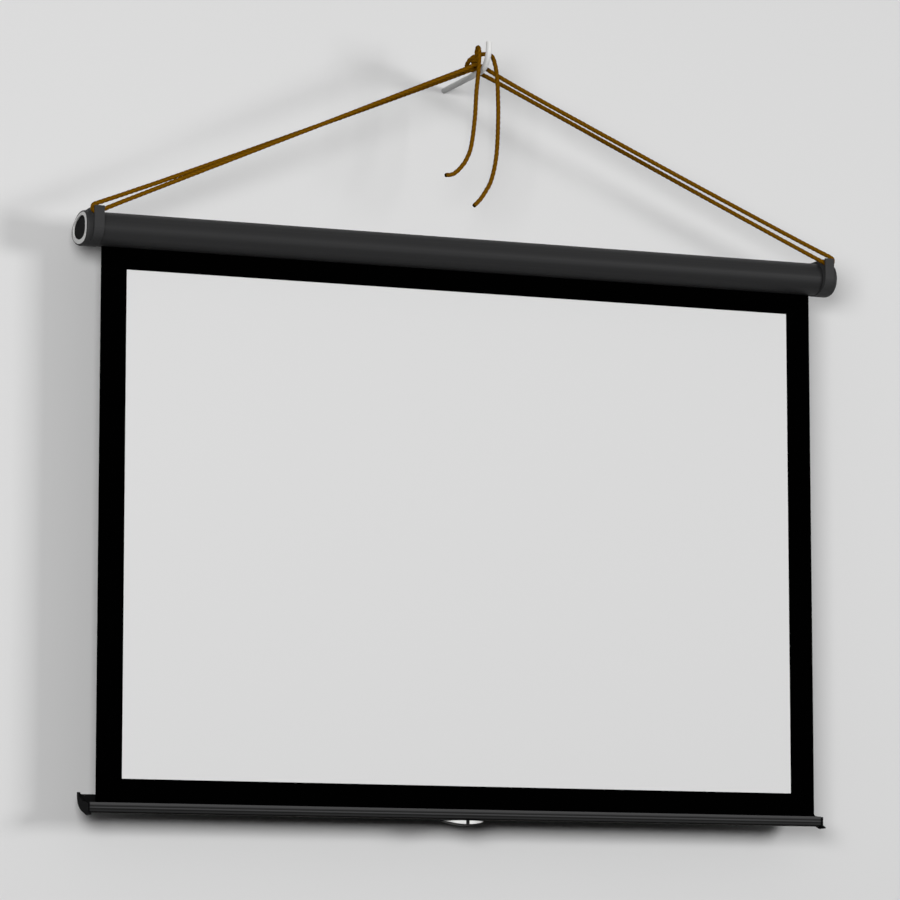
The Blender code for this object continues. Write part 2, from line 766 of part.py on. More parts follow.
def plug_profile(side, bore):
    """A flanged plug in the roller's end, as a closed (x, radius) loop."""
    mouth = side * (ROLLER_HALF_LENGTH + FIT_GAP)
    outer = mouth + side * PLUG_FLANGE
    inner = mouth - side * PLUG_REACH
    sleeve = ROLLER_RADIUS - ROLLER_WALL - FIT_GAP
    flange = ROLLER_RADIUS - PLUG_FLANGE_SET_IN
    return [
        (inner, bore),
        (inner, sleeve),
        (mouth, sleeve),
        (mouth, flange),
        (outer, flange),
        (outer, bore),
    ]


def idle_plug(finish):
    """The left plug, which turns on the idle pin."""
    profile = plug_profile(-1, IDLE_PIN_RADIUS + FIT_GAP)
    mesh = turned_x("idle_plug", profile, (ROLLER_Y, ROLLER_Z), closed=True)
    return add_object("idle_plug", mesh, finish, roller_axis(0.0))


def idle_pin(finish):
    """The pin that the left cap holds, with its head outside the web."""
    seat = -(CAP_INNER_X + CAP_WEB + FIT_GAP)
    head = seat - IDLE_HEAD_THICKNESS
    tip = -(ROLLER_HALF_LENGTH - PLUG_REACH)
    profile = [
        (head, 0.0),
        (head, IDLE_HEAD_RADIUS),
        (seat, IDLE_HEAD_RADIUS),
        (seat, IDLE_PIN_RADIUS),
        (tip, IDLE_PIN_RADIUS),
        (tip, 0.0),
    ]
    mesh = turned_x("idle_pin", profile, (ROLLER_Y, ROLLER_Z))
    return add_object("idle_pin", mesh, finish, roller_axis(head))


def ratchet_plug(finish):
    """The right plug, with the pin that the pawl swings on."""
    profile = plug_profile(1, SPINDLE_RADIUS + FIT_GAP)
    plug = turned_x("ratchet_plug", profile, (ROLLER_Y, ROLLER_Z), closed=True)
    face = ROLLER_HALF_LENGTH + FIT_GAP + PLUG_FLANGE
    ends = [(x, PAWL_Y, PAWL_Z) for x in (face - PLUG_FLANGE / 2, face + RATCHET_THICKNESS + FIT_GAP * 2)]
    pin = cylinder("pawl_pin", PAWL_PIN_RADIUS, *ends, SCREW_SEGMENTS)
    mesh = combine(plug, [pin], "UNION")
    return add_object("ratchet_plug", mesh, finish, roller_axis(0.0))


def drive_plug(finish):
    """The plug deep in the tube that the spring's inner end turns."""
    outer = ROLLER_RADIUS - ROLLER_WALL - FIT_GAP
    bore = SPINDLE_RADIUS + FIT_GAP
    start = DRIVE_PLUG_X
    end = start + DRIVE_PLUG_LENGTH
    profile = [(start, bore), (start, outer), (end, outer), (end, bore)]
    mesh = turned_x("drive_plug", profile, (ROLLER_Y, ROLLER_Z), closed=True)
    return add_object("drive_plug", mesh, finish, roller_axis(0.0))


def spring_spindle(finish):
    """The fixed spindle: long round core, anchor collar and flat tongue in the cap's slot."""
    tongue_start = CASE_HALF_LENGTH - FIT_GAP * 4
    tongue_end = CAP_INNER_X + CAP_WEB + FIT_GAP * 2
    core_start = DRIVE_PLUG_X - FIT_GAP * 2
    collar_end = ROLLER_HALF_LENGTH - PLUG_REACH - FIT_GAP
    collar_start = collar_end - SPINDLE_COLLAR_THICKNESS
    profile = [
        (core_start, 0.0),
        (core_start, SPINDLE_RADIUS),
        (collar_start, SPINDLE_RADIUS),
        (collar_start, SPINDLE_COLLAR_RADIUS),
        (collar_end, SPINDLE_COLLAR_RADIUS),
        (collar_end, SPINDLE_RADIUS),
        (tongue_start, SPINDLE_RADIUS),
        (tongue_start, 0.0),
    ]
    core = turned_x("spindle_core", profile, (ROLLER_Y, ROLLER_Z))
    low = (tongue_start - CUT_OVERRUN, ROLLER_Y - TONGUE_THICKNESS / 2, ROLLER_Z - TONGUE_WIDTH / 2)
    high = (tongue_end, ROLLER_Y + TONGUE_THICKNESS / 2, ROLLER_Z + TONGUE_WIDTH / 2)
    mesh = combine(core, [box("tongue", low, high)], "UNION")
    return add_object("spring_spindle", mesh, finish, roller_axis(0.0))


def torsion_spring(finish):
    """The long spring between the spindle's collar and the drive plug."""
    collar = ROLLER_HALF_LENGTH - PLUG_REACH - FIT_GAP - SPINDLE_COLLAR_THICKNESS
    start = DRIVE_PLUG_X + DRIVE_PLUG_LENGTH + FIT_GAP + SPRING_WIRE_RADIUS
    end = collar - FIT_GAP - SPRING_WIRE_RADIUS
    count = SPRING_TURNS * SPRING_POINTS_PER_TURN
    points = []
    for index in range(count + 1):
        angle = math.tau * index / SPRING_POINTS_PER_TURN
        x = start + (end - start) * index / count
        y = ROLLER_Y + SPRING_COIL_RADIUS * math.cos(angle)
        z = ROLLER_Z + SPRING_COIL_RADIUS * math.sin(angle)
        points.append((x, y, z))
    return tube("torsion_spring", points, SPRING_WIRE_RADIUS, finish, resolution=1)


def ratchet_outline():
    """Saw teeth that rise slowly and drop at once, as (y, z) points."""
    points = []
    for tooth in range(RATCHET_TEETH):
        for step in range(RATCHET_STEPS_PER_TOOTH + 1):
            share = step / RATCHET_STEPS_PER_TOOTH
            angle = RATCHET_STEP_ANGLE + math.tau * (tooth + share) / RATCHET_TEETH
            radius = RATCHET_LOW_RADIUS + (RATCHET_HIGH_RADIUS - RATCHET_LOW_RADIUS) * share
            points.append((ROLLER_Y + radius * math.cos(angle), ROLLER_Z + radius * math.sin(angle)))
    return points


def ratchet_wheel(finish):
    """The fixed wheel on the spindle that the pawl drops into."""
    start = ROLLER_HALF_LENGTH + FIT_GAP * 2 + PLUG_FLANGE
    end = start + RATCHET_THICKNESS
    wheel = prism_x("ratchet_wheel", ratchet_outline(), start, end)
    ends = [roller_axis(x) for x in (start - CUT_OVERRUN, end + CUT_OVERRUN)]
    bore = cylinder("bore", SPINDLE_RADIUS + FIT_GAP, *ends, SCREW_SEGMENTS)
    mesh = combine(wheel, [bore], "DIFFERENCE")
    return add_object("ratchet_wheel", mesh, finish, roller_axis(start))


def ratchet_pawl(finish):
    """The small arm that swings on the plug's pin, drawn lifted clear of the teeth."""
    start = ROLLER_HALF_LENGTH + FIT_GAP * 2 + PLUG_FLANGE
    end = start + RATCHET_THICKNESS
    eye = (PAWL_Y, PAWL_Z)
    along = Vector((math.cos(PAWL_REST_TILT), math.sin(PAWL_REST_TILT)))
    across = Vector((-along.y, along.x))
    tip = Vector(eye) + along * PAWL_LENGTH
    eye_start = PAWL_REST_TILT + math.radians(50)
    outline = arc(eye, PAWL_EYE_RADIUS, eye_start, PAWL_REST_TILT + math.radians(310), PORT_STEPS)
    outline.append(tuple(tip - across * PAWL_TIP_HALF_WIDTH))
    outline.append(tuple(tip + across * PAWL_TIP_HALF_WIDTH))
    arm = prism_x("ratchet_pawl", outline, start, end)
    ends = [(x, *eye) for x in (start - CUT_OVERRUN, end + CUT_OVERRUN)]
    bore = cylinder("bore", PAWL_PIN_RADIUS + FIT_GAP, *ends, SCREW_SEGMENTS)
    mesh = combine(arm, [bore], "DIFFERENCE")
    return add_object("ratchet_pawl", mesh, finish, (start, *eye))


# Sheet

def backing_sheet(finish):
    """The black sheet whose edges show as the border round the viewing area."""
    low = (-SHEET_HALF_WIDTH, SHEET_FRONT_Y, HEM_ROD_Z + HEM_ROD_RADIUS + FIT_GAP)
    high = (SHEET_HALF_WIDTH, SHEET_FRONT_Y + BACKING_THICKNESS, ROLLER_Z)
    return add_object("backing_sheet", box("backing_sheet", low, high), finish)


def viewing_surface(finish):
    """The matt white layer on the front of the backing."""
    back = SHEET_FRONT_Y - FIT_GAP
    low = (-VIEW_WIDTH / 2, back - VIEW_LAYER_THICKNESS, VIEW_BOTTOM_Z)
    high = (VIEW_WIDTH / 2, back, VIEW_TOP_Z)
    return add_object("viewing_surface", box("viewing_surface", low, high), finish)


def hem_rod(finish):
    """The rod in the sheet's hem, held in the bar's channel."""
    ends = [(x, HEM_ROD_Y, HEM_ROD_Z) for x in (-SHEET_HALF_WIDTH, SHEET_HALF_WIDTH)]
    mesh = cylinder("hem_rod", HEM_ROD_RADIUS, *ends, 24)
    return add_object("hem_rod", mesh, finish)


# Bottom bar

def gutter_curve(grow_depth, grow_drop, steps, top_rise):
    """A square-shouldered quarter curve from the lip's foot round to the back wall's top."""
    centre_y = SHEET_FRONT_Y - GUTTER_CENTRE_FORWARD
    centre_z = LIP_TOP_Z + top_rise
    depth = GUTTER_DEPTH + grow_depth
    drop = GUTTER_DROP + top_rise + grow_drop
    power = 2 / GUTTER_CURVE_POWER
    points = []
    for step in range(steps + 1):
        angle = math.radians(90) * step / steps
        y = centre_y + depth * math.sin(angle) ** power
        z = centre_z - drop * math.cos(angle) ** power
        points.append((y, z))
    return points


def gutter_floor(y):
    """The height of the gutter's inner surface at y."""
    power = GUTTER_CURVE_POWER
    reach = (y - SHEET_FRONT_Y + GUTTER_CENTRE_FORWARD) / (GUTTER_DEPTH - BAR_WALL)
    drop = GUTTER_DROP + BACK_WALL_RISE - BAR_WALL
    return LIP_TOP_Z + BACK_WALL_RISE - drop * (1 - reach ** power) ** (1 / power)


def lip_front_outline():
    """The ribbed front of the lip, from its top to its foot."""
    front = SHEET_FRONT_Y - LIP_FRONT
    return [
        (front + LIP_GROOVE_DEPTH * depth_share, LIP_TOP_Z - LIP_HEIGHT * height_share)
        for height_share, depth_share in LIP_RIB_SHARES
    ]


def bar_outline():
    """The bar's section as one closed outline."""
    outer = [point for point in gutter_curve(0.0, 0.0, GUTTER_STEPS, BACK_WALL_RISE)
             if point[0] > SHEET_FRONT_Y - LIP_BACK]
    inner = gutter_curve(-BAR_WALL, -BAR_WALL, GUTTER_STEPS, BACK_WALL_RISE)
    inner = [point for point in inner if point[0] > SHEET_FRONT_Y + CHANNEL_BACK + BAR_WALL * 2]
    channel_top = LIP_TOP_Z - CHANNEL_TOP_DROP
    channel_under = channel_top - BAR_WALL
    channel_floor = HEM_ROD_Z - HEM_ROD_RADIUS - FIT_GAP
    channel_back = SHEET_FRONT_Y + CHANNEL_BACK
    mouth_back = SHEET_FRONT_Y + CHANNEL_MOUTH_BACK
    lip_back = SHEET_FRONT_Y - LIP_BACK
    return (
        lip_front_outline()
        + outer
        + inner[::-1]
        + [
            (channel_back + BAR_WALL, inner[0][1]),
            (channel_back + BAR_WALL, channel_top),
            (mouth_back, channel_top),
            (mouth_back, channel_under),
            (channel_back, channel_under),
            (channel_back, channel_floor),
            (lip_back, channel_floor),
            (lip_back, LIP_TOP_Z),
        ]
    )


def handle_screw_axis(x):
    """Where a handle screw stands, as (x, y)."""
    return (x, SHEET_FRONT_Y + HANDLE_SCREW_BACK)


def bottom_bar(finish):
    """The extruded weight bar with the two holes of the handle's screws."""
    mesh = prism_x("bottom_bar", bar_outline(), -BAR_HALF_LENGTH, BAR_HALF_LENGTH)
    holes = []
    for x in (-HANDLE_SCREW_X, HANDLE_SCREW_X):
        ends = [(*handle_screw_axis(x), z) for z in (LIP_TOP_Z - LIP_HEIGHT * 2, LIP_TOP_Z - CHANNEL_TOP_DROP)]
        holes.append(cylinder("hole", SCREW_SHANK_RADIUS + FIT_GAP, *ends, SCREW_SEGMENTS))
    return add_object("bottom_bar", combine(mesh, holes, "DIFFERENCE"), finish)


def plate_outline():
    """The bar's end plate: low at the lip, curved below and high at the back."""
    curve = gutter_curve(
        PLATE_MARGIN_BACK,
        PLATE_MARGIN_BELOW - PLATE_MARGIN_ABOVE,
        GUTTER_STEPS,
        BACK_WALL_RISE + PLATE_MARGIN_ABOVE,
    )
    front = SHEET_FRONT_Y - PLATE_FRONT
    top = LIP_TOP_Z - PLATE_LIP_DROP
    bottom = curve[0][1] - TOE_DROP
    toe = front - TOE_REACH
    sole_end = front + TOE_SOLE
    behind = [point for point in curve if point[0] > sole_end + TOE_RUN_OUT]
    rise = curve[-1][1] - top
    depth = curve[-1][0] - SHEET_FRONT_Y
    upper_shares = ((0.86, 1.0), (0.80, 0.90), (0.70, 0.58), (0.42, 0.17), (0.07, 0.0))
    upper = [(SHEET_FRONT_Y + depth * back_share, top + rise * up_share) for back_share, up_share in upper_shares]
    return (
        [(front, top), (front, bottom + TOE_ROOT_HEIGHT), (toe, bottom + TOE_HEIGHT)]
        + [(toe + TOE_HEIGHT, bottom), (sole_end, bottom)]
        + behind
        + upper
    )


def bar_end_plate(side, finish):
    """One end plate with the lug that goes into the gutter."""
    name = "left_bar_plate" if side < 0 else "right_bar_plate"
    inner = BAR_HALF_LENGTH + FIT_GAP
    plate = prism_x(name, plate_outline(), side * inner, side * (inner + PLATE_THICKNESS))
    lug_front = SHEET_FRONT_Y + PLATE_LUG_FRONT
    lug_back = SHEET_FRONT_Y + PLATE_LUG_BACK
    lug_top = gutter_floor(lug_back) + PLATE_LUG_HEIGHT
    lug = prism_x(
        "lug",
        [
            (lug_front, gutter_floor(lug_front) + FIT_GAP),
            (lug_front, lug_top),
            (lug_back, lug_top),
            (lug_back, gutter_floor(lug_back) + FIT_GAP),
        ],
        side * (inner - PLATE_LUG_LENGTH),
        side * (inner + PLATE_THICKNESS / 2),
    )
    return add_object(name, combine(plate, [lug], "UNION"), finish)


# Pull handle

def crescent(half_width, drop, start, end, top_gap=0.0, gap=0.0):
    """A flat-topped crescent from x start to x end, drawn in by gap, as (x, z) points."""
    points = [(start + gap, HANDLE_TOP_Z - top_gap - gap)]
    for step in range(HANDLE_ARC_STEPS + 1):
        x = start + gap + (end - start - gap * 2) * step / HANDLE_ARC_STEPS
        points.append((x, HANDLE_TOP_Z - drop * (1 - (x / half_width) ** 2) + gap))
    points.append((end - gap, HANDLE_TOP_Z - top_gap - gap))
    return points


def handle_arc(grow):
    """The front of the handle in plan, moved outwards by grow, as (x, y) points."""
    radius = HANDLE_PLAN_RADIUS + grow
    centre_y = SHEET_FRONT_Y - HANDLE_FRONT + HANDLE_PLAN_RADIUS
    half_angle = math.acos((centre_y - SHEET_FRONT_Y - HANDLE_BACK) / radius)
    forward = math.radians(-90)
    return arc((0.0, centre_y), radius, forward - half_angle, forward + half_angle, HANDLE_ARC_STEPS)


def plan_block(name, outline):
    """A plan outline as an upright block taller than the handle."""
    return prism_z(name, outline, HANDLE_TOP_Z - HANDLE_DROP - CUT_OVERRUN, HANDLE_TOP_Z + CUT_OVERRUN)


def front_block(name, outline):
    """A front outline as a block along Y that is longer than the handle."""
    front = SHEET_FRONT_Y - HANDLE_FRONT - CUT_OVERRUN
    return prism_y(name, outline, front, SHEET_FRONT_Y + HANDLE_BACK + CUT_OVERRUN)


def pad_mesh(name, side, gap, proud):
    """Half of the light inlay, drawn in by gap and standing proud of the front."""
    outline = crescent(
        HANDLE_PAD_HALF_WIDTH,
        HANDLE_DROP - HANDLE_RIM,
        HANDLE_RIB_HALF_WIDTH,
        HANDLE_PAD_REACH,
        HANDLE_TOP_RIM,
        gap,
    )
    outline = [(side * x, z) for x, z in outline]
    slab = handle_arc(proud) + handle_arc(gap - HANDLE_POCKET_DEPTH)[::-1]
    return combine(front_block(name, outline), [plan_block("slab", slab)], "INTERSECT")


def handle_frame(finish):
    """The dark body with the two pad pockets in its curved front."""
    end = HANDLE_HALF_WIDTH - HANDLE_RIM
    outline = crescent(HANDLE_HALF_WIDTH, HANDLE_DROP, -end, end)
    body = combine(front_block("handle_frame", outline), [plan_block("plan", handle_arc(0.0))], "INTERSECT")
    cutters = [pad_mesh("pocket", side, 0.0, CUT_OVERRUN) for side in (-1, 1)]
    for x in (-HANDLE_SCREW_X, HANDLE_SCREW_X):
        ends = [(*handle_screw_axis(x), z)
                for z in (HANDLE_TOP_Z + CUT_OVERRUN, HANDLE_TOP_Z - HANDLE_SCREW_HOLE_DEPTH)]
        cutters.append(cylinder("hole", SCREW_SHANK_RADIUS + FIT_GAP, *ends, SCREW_SEGMENTS))
    return add_object("handle_frame", combine(body, cutters, "DIFFERENCE"), finish)


def handle_pads(finish):
    """The two light pads in the handle's front."""
    for side, name in ((-1, "left_handle_pad"), (1, "right_handle_pad")):
        add_object(name, pad_mesh(name, side, FIT_GAP, HANDLE_PAD_PROUD), finish)


def handle_screws(finish):
    """The screws that come down through the gutter's floor into the handle."""
    for number, x in enumerate((-HANDLE_SCREW_X, HANDLE_SCREW_X), 1):
        name = f"handle_screw_{number}"
        head = gutter_floor(handle_screw_axis(x)[1] + SCREW_HEAD_RADIUS) + FIT_GAP
        tip = HANDLE_TOP_Z - HANDLE_SCREW_HOLE_DEPTH + FIT_GAP
        mesh = turned_x(name, screw_profile(head, tip, 1), (0.0, 0.0), SCREW_SEGMENTS)
        mesh.transform(Matrix.Rotation(math.radians(-90), 4, "Y"))
        mesh.transform(Matrix.Translation((*handle_screw_axis(x), 0.0)))
        add_object(name, mesh, finish)


# Sling rope: routes chosen by hand, from the knot to the left and right end caps and back

LEFT_LOOP_ROUTE = (
    (-0.01938, -0.22976, 0.00840),
    (-0.02205, -0.23018, 0.00769),
    (-0.0300, -0.2292, 0.0044),
    (-0.0390, -0.2281, 0.0000),
    (-0.0500, -0.2272, -0.0051),
    (-0.1000, -0.2240, -0.0272),
    (-0.3000, -0.2105, -0.1160),
    (-0.5000, -0.1970, -0.2049),
    (-0.7000, -0.1835, -0.2940),
    (-0.7800, -0.1780, -0.3297),
    (-0.8100, -0.1758, -0.3434),
    (-0.8210, -0.1749, -0.3486),
    (-0.82835, -0.1745, -0.35192),
    (-0.83276, -0.1745, -0.35266),
    (-0.83693, -0.1745, -0.35105),
    (-0.83971, -0.1745, -0.34755),
    (-0.84033, -0.1745, -0.34311),
    (-0.83861, -0.1745, -0.33898),
    (-0.83503, -0.1745, -0.33630),
    (-0.8240, -0.1749, -0.3320),
    (-0.8100, -0.1753, -0.3265),
    (-0.7800, -0.1765, -0.3147),
    (-0.7000, -0.1795, -0.2826),
    (-0.5000, -0.1871, -0.2000),
    (-0.3000, -0.1946, -0.1166),
    (-0.1000, -0.2022, -0.0318),
    (-0.0400, -0.2045, -0.0058),
    (-0.0200, -0.2053, 0.0030),
    (-0.0100, -0.2058, 0.0080),
    (-0.0055, -0.2060, 0.0103),
    (-0.0025, -0.2060, 0.0114),
    (-0.0003, -0.2060, 0.0114),
)

RIGHT_LOOP_ROUTE = (
    (0.0003, -0.2060, 0.0114),
    (0.0025, -0.2060, 0.0114),
    (0.0055, -0.2060, 0.0103),
    (0.0100, -0.2058, 0.0080),
    (0.0200, -0.2053, 0.0030),
    (0.0400, -0.2045, -0.0064),
    (0.1000, -0.2022, -0.0334),
    (0.3000, -0.1946, -0.1176),
    (0.5000, -0.1871, -0.2010),
    (0.7000, -0.1795, -0.2828),
    (0.7800, -0.1765, -0.3149),
    (0.8100, -0.1753, -0.3266),
    (0.8240, -0.1749, -0.3320),
    (0.83503, -0.1745, -0.33630),
    (0.83861, -0.1745, -0.33898),
    (0.84033, -0.1745, -0.34311),
    (0.83971, -0.1745, -0.34755),
    (0.83693, -0.1745, -0.35105),
    (0.83276, -0.1745, -0.35266),
    (0.82835, -0.1745, -0.35192),
    (0.8210, -0.1744, -0.3494),
    (0.8100, -0.1741, -0.3450),
    (0.7800, -0.1736, -0.3322),
    (0.7000, -0.1722, -0.2970),
    (0.5000, -0.1687, -0.2083),
    (0.3000, -0.1652, -0.1188),
    (0.1000, -0.1617, -0.0292),
    (0.0400, -0.1606, -0.0028),
    (0.0200, -0.1604, 0.0052),
    (0.0070, -0.1606, 0.0104),
    (-0.0060, -0.1635, 0.0122),
    (-0.0165, -0.1720, 0.0138),
    (-0.0228, -0.1840, 0.0165),
    (-0.02394, -0.1929, 0.01995),
    (-0.02370, -0.1955, 0.02145),
)

TAIL_A_ROUTE = (
    (-0.01274, -0.22312, 0.02135),
    (-0.01252, -0.22170, 0.02173),
    (-0.0125, -0.2199, 0.0229),
    (-0.0130, -0.2187, 0.0253),
    (-0.0138, -0.2184, 0.0292),
    (-0.0147, -0.2188, 0.0345),
    (-0.0153, -0.2207, 0.0400),
    (-0.0159, -0.2245, 0.0440),
    (-0.0164, -0.2295, 0.0455),
    (-0.0169, -0.2345, 0.0440),
    (-0.0174, -0.2387, 0.0395),
    (-0.0178, -0.2407, 0.0320),
    (-0.0185, -0.2410, 0.0100),
    (-0.0205, -0.2395, -0.0200),
    (-0.0229, -0.2370, -0.0520),
    (-0.0259, -0.2340, -0.1134),
    (-0.0334, -0.2310, -0.1711),
    (-0.0430, -0.2300, -0.1960),
    (-0.0518, -0.2290, -0.2095),
    (-0.0620, -0.2280, -0.2210),
    (-0.0730, -0.2270, -0.2290),
    (-0.0894, -0.2260, -0.2320),
)

TAIL_B_ROUTE = (
    (-0.02367, -0.19585, 0.02165),
    (-0.02343, -0.19845, 0.02315),
    (-0.0205, -0.2030, 0.0268),
    (-0.0150, -0.2070, 0.0307),
    (-0.0080, -0.2108, 0.0335),
    (0.0000, -0.2145, 0.0352),
    (0.0080, -0.2180, 0.0358),
    (0.0150, -0.2205, 0.0340),
    (0.0200, -0.2220, 0.0290),
    (0.0240, -0.2232, 0.0180),
    (0.0281, -0.2250, -0.0059),
    (0.0310, -0.2250, -0.0515),
    (0.0313, -0.2250, -0.1089),
    (0.0287, -0.2250, -0.1663),
    (0.0250, -0.2250, -0.1960),
    (0.0195, -0.2250, -0.2212),
    (0.0120, -0.2250, -0.2430),
    (0.0027, -0.2250, -0.2595),
    (-0.0100, -0.2250, -0.2780),
    (-0.0245, -0.2250, -0.2929),
)

KNOT_FOOT = (-0.0190, -0.2235, 0.0085)


def knot_points():
    """A short upright winding of the rope at the hook."""
    count = round(KNOT_TURNS * KNOT_POINTS_PER_TURN)
    x, y, z = KNOT_FOOT
    points = []
    for index in range(count + 1):
        angle = math.tau * index / KNOT_POINTS_PER_TURN - math.pi / 2
        rise = KNOT_PITCH * index / KNOT_POINTS_PER_TURN
        points.append(
            (x + KNOT_COIL_RADIUS * math.cos(angle), y + KNOT_COIL_RADIUS * math.sin(angle), z + rise)
        )
    return points


def sling_rope(finish):
    """The rope's two loops, its knot and its two loose ends."""
    for name, route in (
        ("rope_left_loop", LEFT_LOOP_ROUTE),
        ("rope_right_loop", RIGHT_LOOP_ROUTE),
        ("rope_tail_a", TAIL_A_ROUTE),
        ("rope_tail_b", TAIL_B_ROUTE),
    ):
        points = smooth_route(route, ROPE_BEND_STEP, ROPE_STEP)
        tube(name, points, ROPE_RADIUS, finish, resolution=2)
    tube("rope_knot", knot_points(), ROPE_RADIUS, finish, resolution=2)


def build():
    """Make every piece."""
    clear_scene()
    black_case = material("black_case_paint", (0.045, 0.045, 0.047), 0.45)
    black_plastic = material("black_plastic", (0.040, 0.040, 0.042), 0.50)
    light_trim = material("light_trim", (0.62, 0.62, 0.62), 0.40)
    black_cloth = material("black_cloth", (0.010, 0.010, 0.010), 0.90)
    white_screen = material("matt_white_screen", (0.80, 0.80, 0.80), 0.85)
    bright_steel = material("bright_steel", (0.60, 0.60, 0.60), 0.30, 1.0)
    white_paint = material("white_paint", (0.78, 0.78, 0.78), 0.35)
    brown_rope = material("brown_rope", (0.20, 0.09, 0.01), 0.80)
    bare_aluminium = material("bare_aluminium", (0.65, 0.66, 0.67), 0.35, 1.0)
    nylon = material("nylon", (0.55, 0.55, 0.52), 0.50)

    wall_hook(white_paint)
    sling_rope(brown_rope)
    case_shell(black_case)
    for side in (-1, 1):
        end_cap(side, black_plastic)
        cap_cover(side, black_plastic)
        cap_ring(side, light_trim)
        cap_screws(side, bright_steel)
        bar_end_plate(side, black_plastic)
    roller_tube(bare_aluminium)
    wound_sheet(black_cloth)
    idle_plug(nylon)
    idle_pin(bright_steel)
    ratchet_plug(nylon)
    drive_plug(nylon)
    spring_spindle(bright_steel)
    torsion_spring(bright_steel)
    ratchet_wheel(bright_steel)
    ratchet_pawl(bright_steel)
    backing_sheet(black_cloth)
    viewing_surface(white_screen)
    hem_rod(bright_steel)
    bottom_bar(black_case)
    handle_frame(black_plastic)
    handle_pads(light_trim)
    handle_screws(bright_steel)


build()
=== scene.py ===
"""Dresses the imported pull-down screen: rope, cloth, finishes, camera and soft studio light.

All sizes are in metres and all places are in the part's own frame: +X to the right of a
person who faces the screen, +Y into the wall and +Z up, from the hook's wall end.
"""

import math

import bmesh
import bpy
from mathutils import Matrix, Vector


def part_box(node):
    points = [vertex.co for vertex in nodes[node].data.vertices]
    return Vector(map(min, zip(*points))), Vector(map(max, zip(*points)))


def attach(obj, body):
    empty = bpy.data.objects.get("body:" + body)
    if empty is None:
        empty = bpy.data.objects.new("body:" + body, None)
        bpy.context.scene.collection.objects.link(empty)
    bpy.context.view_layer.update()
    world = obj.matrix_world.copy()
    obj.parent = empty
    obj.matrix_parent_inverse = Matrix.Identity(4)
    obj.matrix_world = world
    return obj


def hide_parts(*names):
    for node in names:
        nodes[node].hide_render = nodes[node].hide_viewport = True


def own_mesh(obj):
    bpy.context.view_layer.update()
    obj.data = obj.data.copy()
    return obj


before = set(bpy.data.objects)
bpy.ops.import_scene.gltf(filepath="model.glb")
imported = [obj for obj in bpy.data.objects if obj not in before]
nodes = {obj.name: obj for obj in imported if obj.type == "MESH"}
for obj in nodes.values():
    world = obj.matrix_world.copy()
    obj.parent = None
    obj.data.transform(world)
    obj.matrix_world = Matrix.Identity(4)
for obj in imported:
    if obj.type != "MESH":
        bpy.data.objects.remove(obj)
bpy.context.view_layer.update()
scene = bpy.context.scene

# Rope: its lay, the seam between its pieces, and how its singed ends narrow ring by ring
ROPE_RADIUS = 0.00475
ROPE_STRANDS = 3
ROPE_GROOVE_SHARE = 0.15
ROPE_STRAND_FULLNESS = 0.45
ROPE_TURN = 0.0330
ROPE_RING_STEP = 0.0021
ROPE_SECTION_POINTS = 24
ROPE_BEND_STEP = 0.002
ROPE_END_STEP = 0.006
ROPE_LOOP_STEP = 0.02
ROPE_SEAM = 0.00004
END_SIZES = {0: 0.78, 1: 0.95}
ROPE_DARK = (0.110, 0.046, 0.0007, 1.0)
ROPE_LIGHT = (0.226, 0.098, 0.0016, 1.0)
ROPE_GROOVE_SHADE = (0.062, 0.025, 0.0004, 1.0)
ROPE_SINGED = (0.010, 0.005, 0.0005, 1.0)

# Cloth: the hanging sheet, its white layer, and the turns left on the roller
ROLLER_AXIS = (-0.1459, -0.3798)
SHEET_HALF_WIDTH = 0.8053
SHEET_BOTTOM = -1.555164
SHEET_FRONT = -0.1250
SHEET_THICKNESS = 0.00035
VIEW_HALF_WIDTH = 0.75
VIEW_TOP = -0.458664
VIEW_BOTTOM = -1.497664
VIEW_FRONT = -0.12545
VIEW_THICKNESS = 0.00030
SCREEN_TRAVEL = 1.1297
VIEW_KEEP = 0.020
WOUND_INSIDE = 0.01945
WOUND_OUTSIDE = 0.02045
WOUND_TURNS = 2.0
WOUND_STEPS_PER_TURN = 40
WOUND_CLOTH = 0.00030
SHEET_CELLS = (72, 56)
THREADS_PER_METRE = 1400.0
THREAD_RELIEF = 0.00002

# Faint waves of the hanging sheet: height, and the stretches at slot and hem where they die out
WAVE_HEIGHT = 0.00028
STILL_SLOT = (-0.43, 0.25)
STILL_HEM = (-1.53, 0.20)

# Ribbed front of the bar: its height, and how light it is by share of that height downwards, partly wear
# on the rib crests and partly painted light and shade of the ribs, going black at the bottom edge
LIP_TOP = -1.546164
LIP_HEIGHT = 0.0206
LIP_FRONT_ENDS = (-0.1275, -0.1285)
LIP_WEAR_AND_SHADE_BANDS = (
    (0.00, 0.90), (0.18, 0.95), (0.26, 0.48), (0.38, 0.30), (0.46, 0.85), (0.51, 0.85),
    (0.57, 0.32), (0.68, 0.27), (0.78, 0.38), (0.87, 0.28), (0.92, 0.03), (1.00, 0.00),
)
# Painted shade for the gutter and all else behind the bar's front, as a share of the coat's colour
GUTTER_PAINTED_SHADE = 0.10

# Painted shade on the hook's shank towards the wall: where along the shank it sets in, and how dark it
# gets
HOOK_SHADE_ENDS = (-0.22, -0.12)
HOOK_SHADE_SHARE = 0.74

# Coat of the extrusions: grain and die lines for each metre, and their depths
COAT_GRAIN_SCALE = 1100.0
COAT_GRAIN_DEPTH = 0.00005
DIE_LINES_SCALE = 700.0
DIE_LINES_DEPTH = 0.00003

# Handle screws, in shares of the head's radius: the recess, then the head's outline outwards and down
RECESS_HALF_SLOT = 0.13
RECESS_ARM = 0.46
RECESS_DEPTH = 0.42
RECESS_TAPER = 0.55
FACE_HALF = 0.62
FACE_ROUND = 0.66
HEAD_OUTLINE = ((0.90, -0.10), (1.00, -0.33), (1.00, -0.66), (0.50, -0.66))

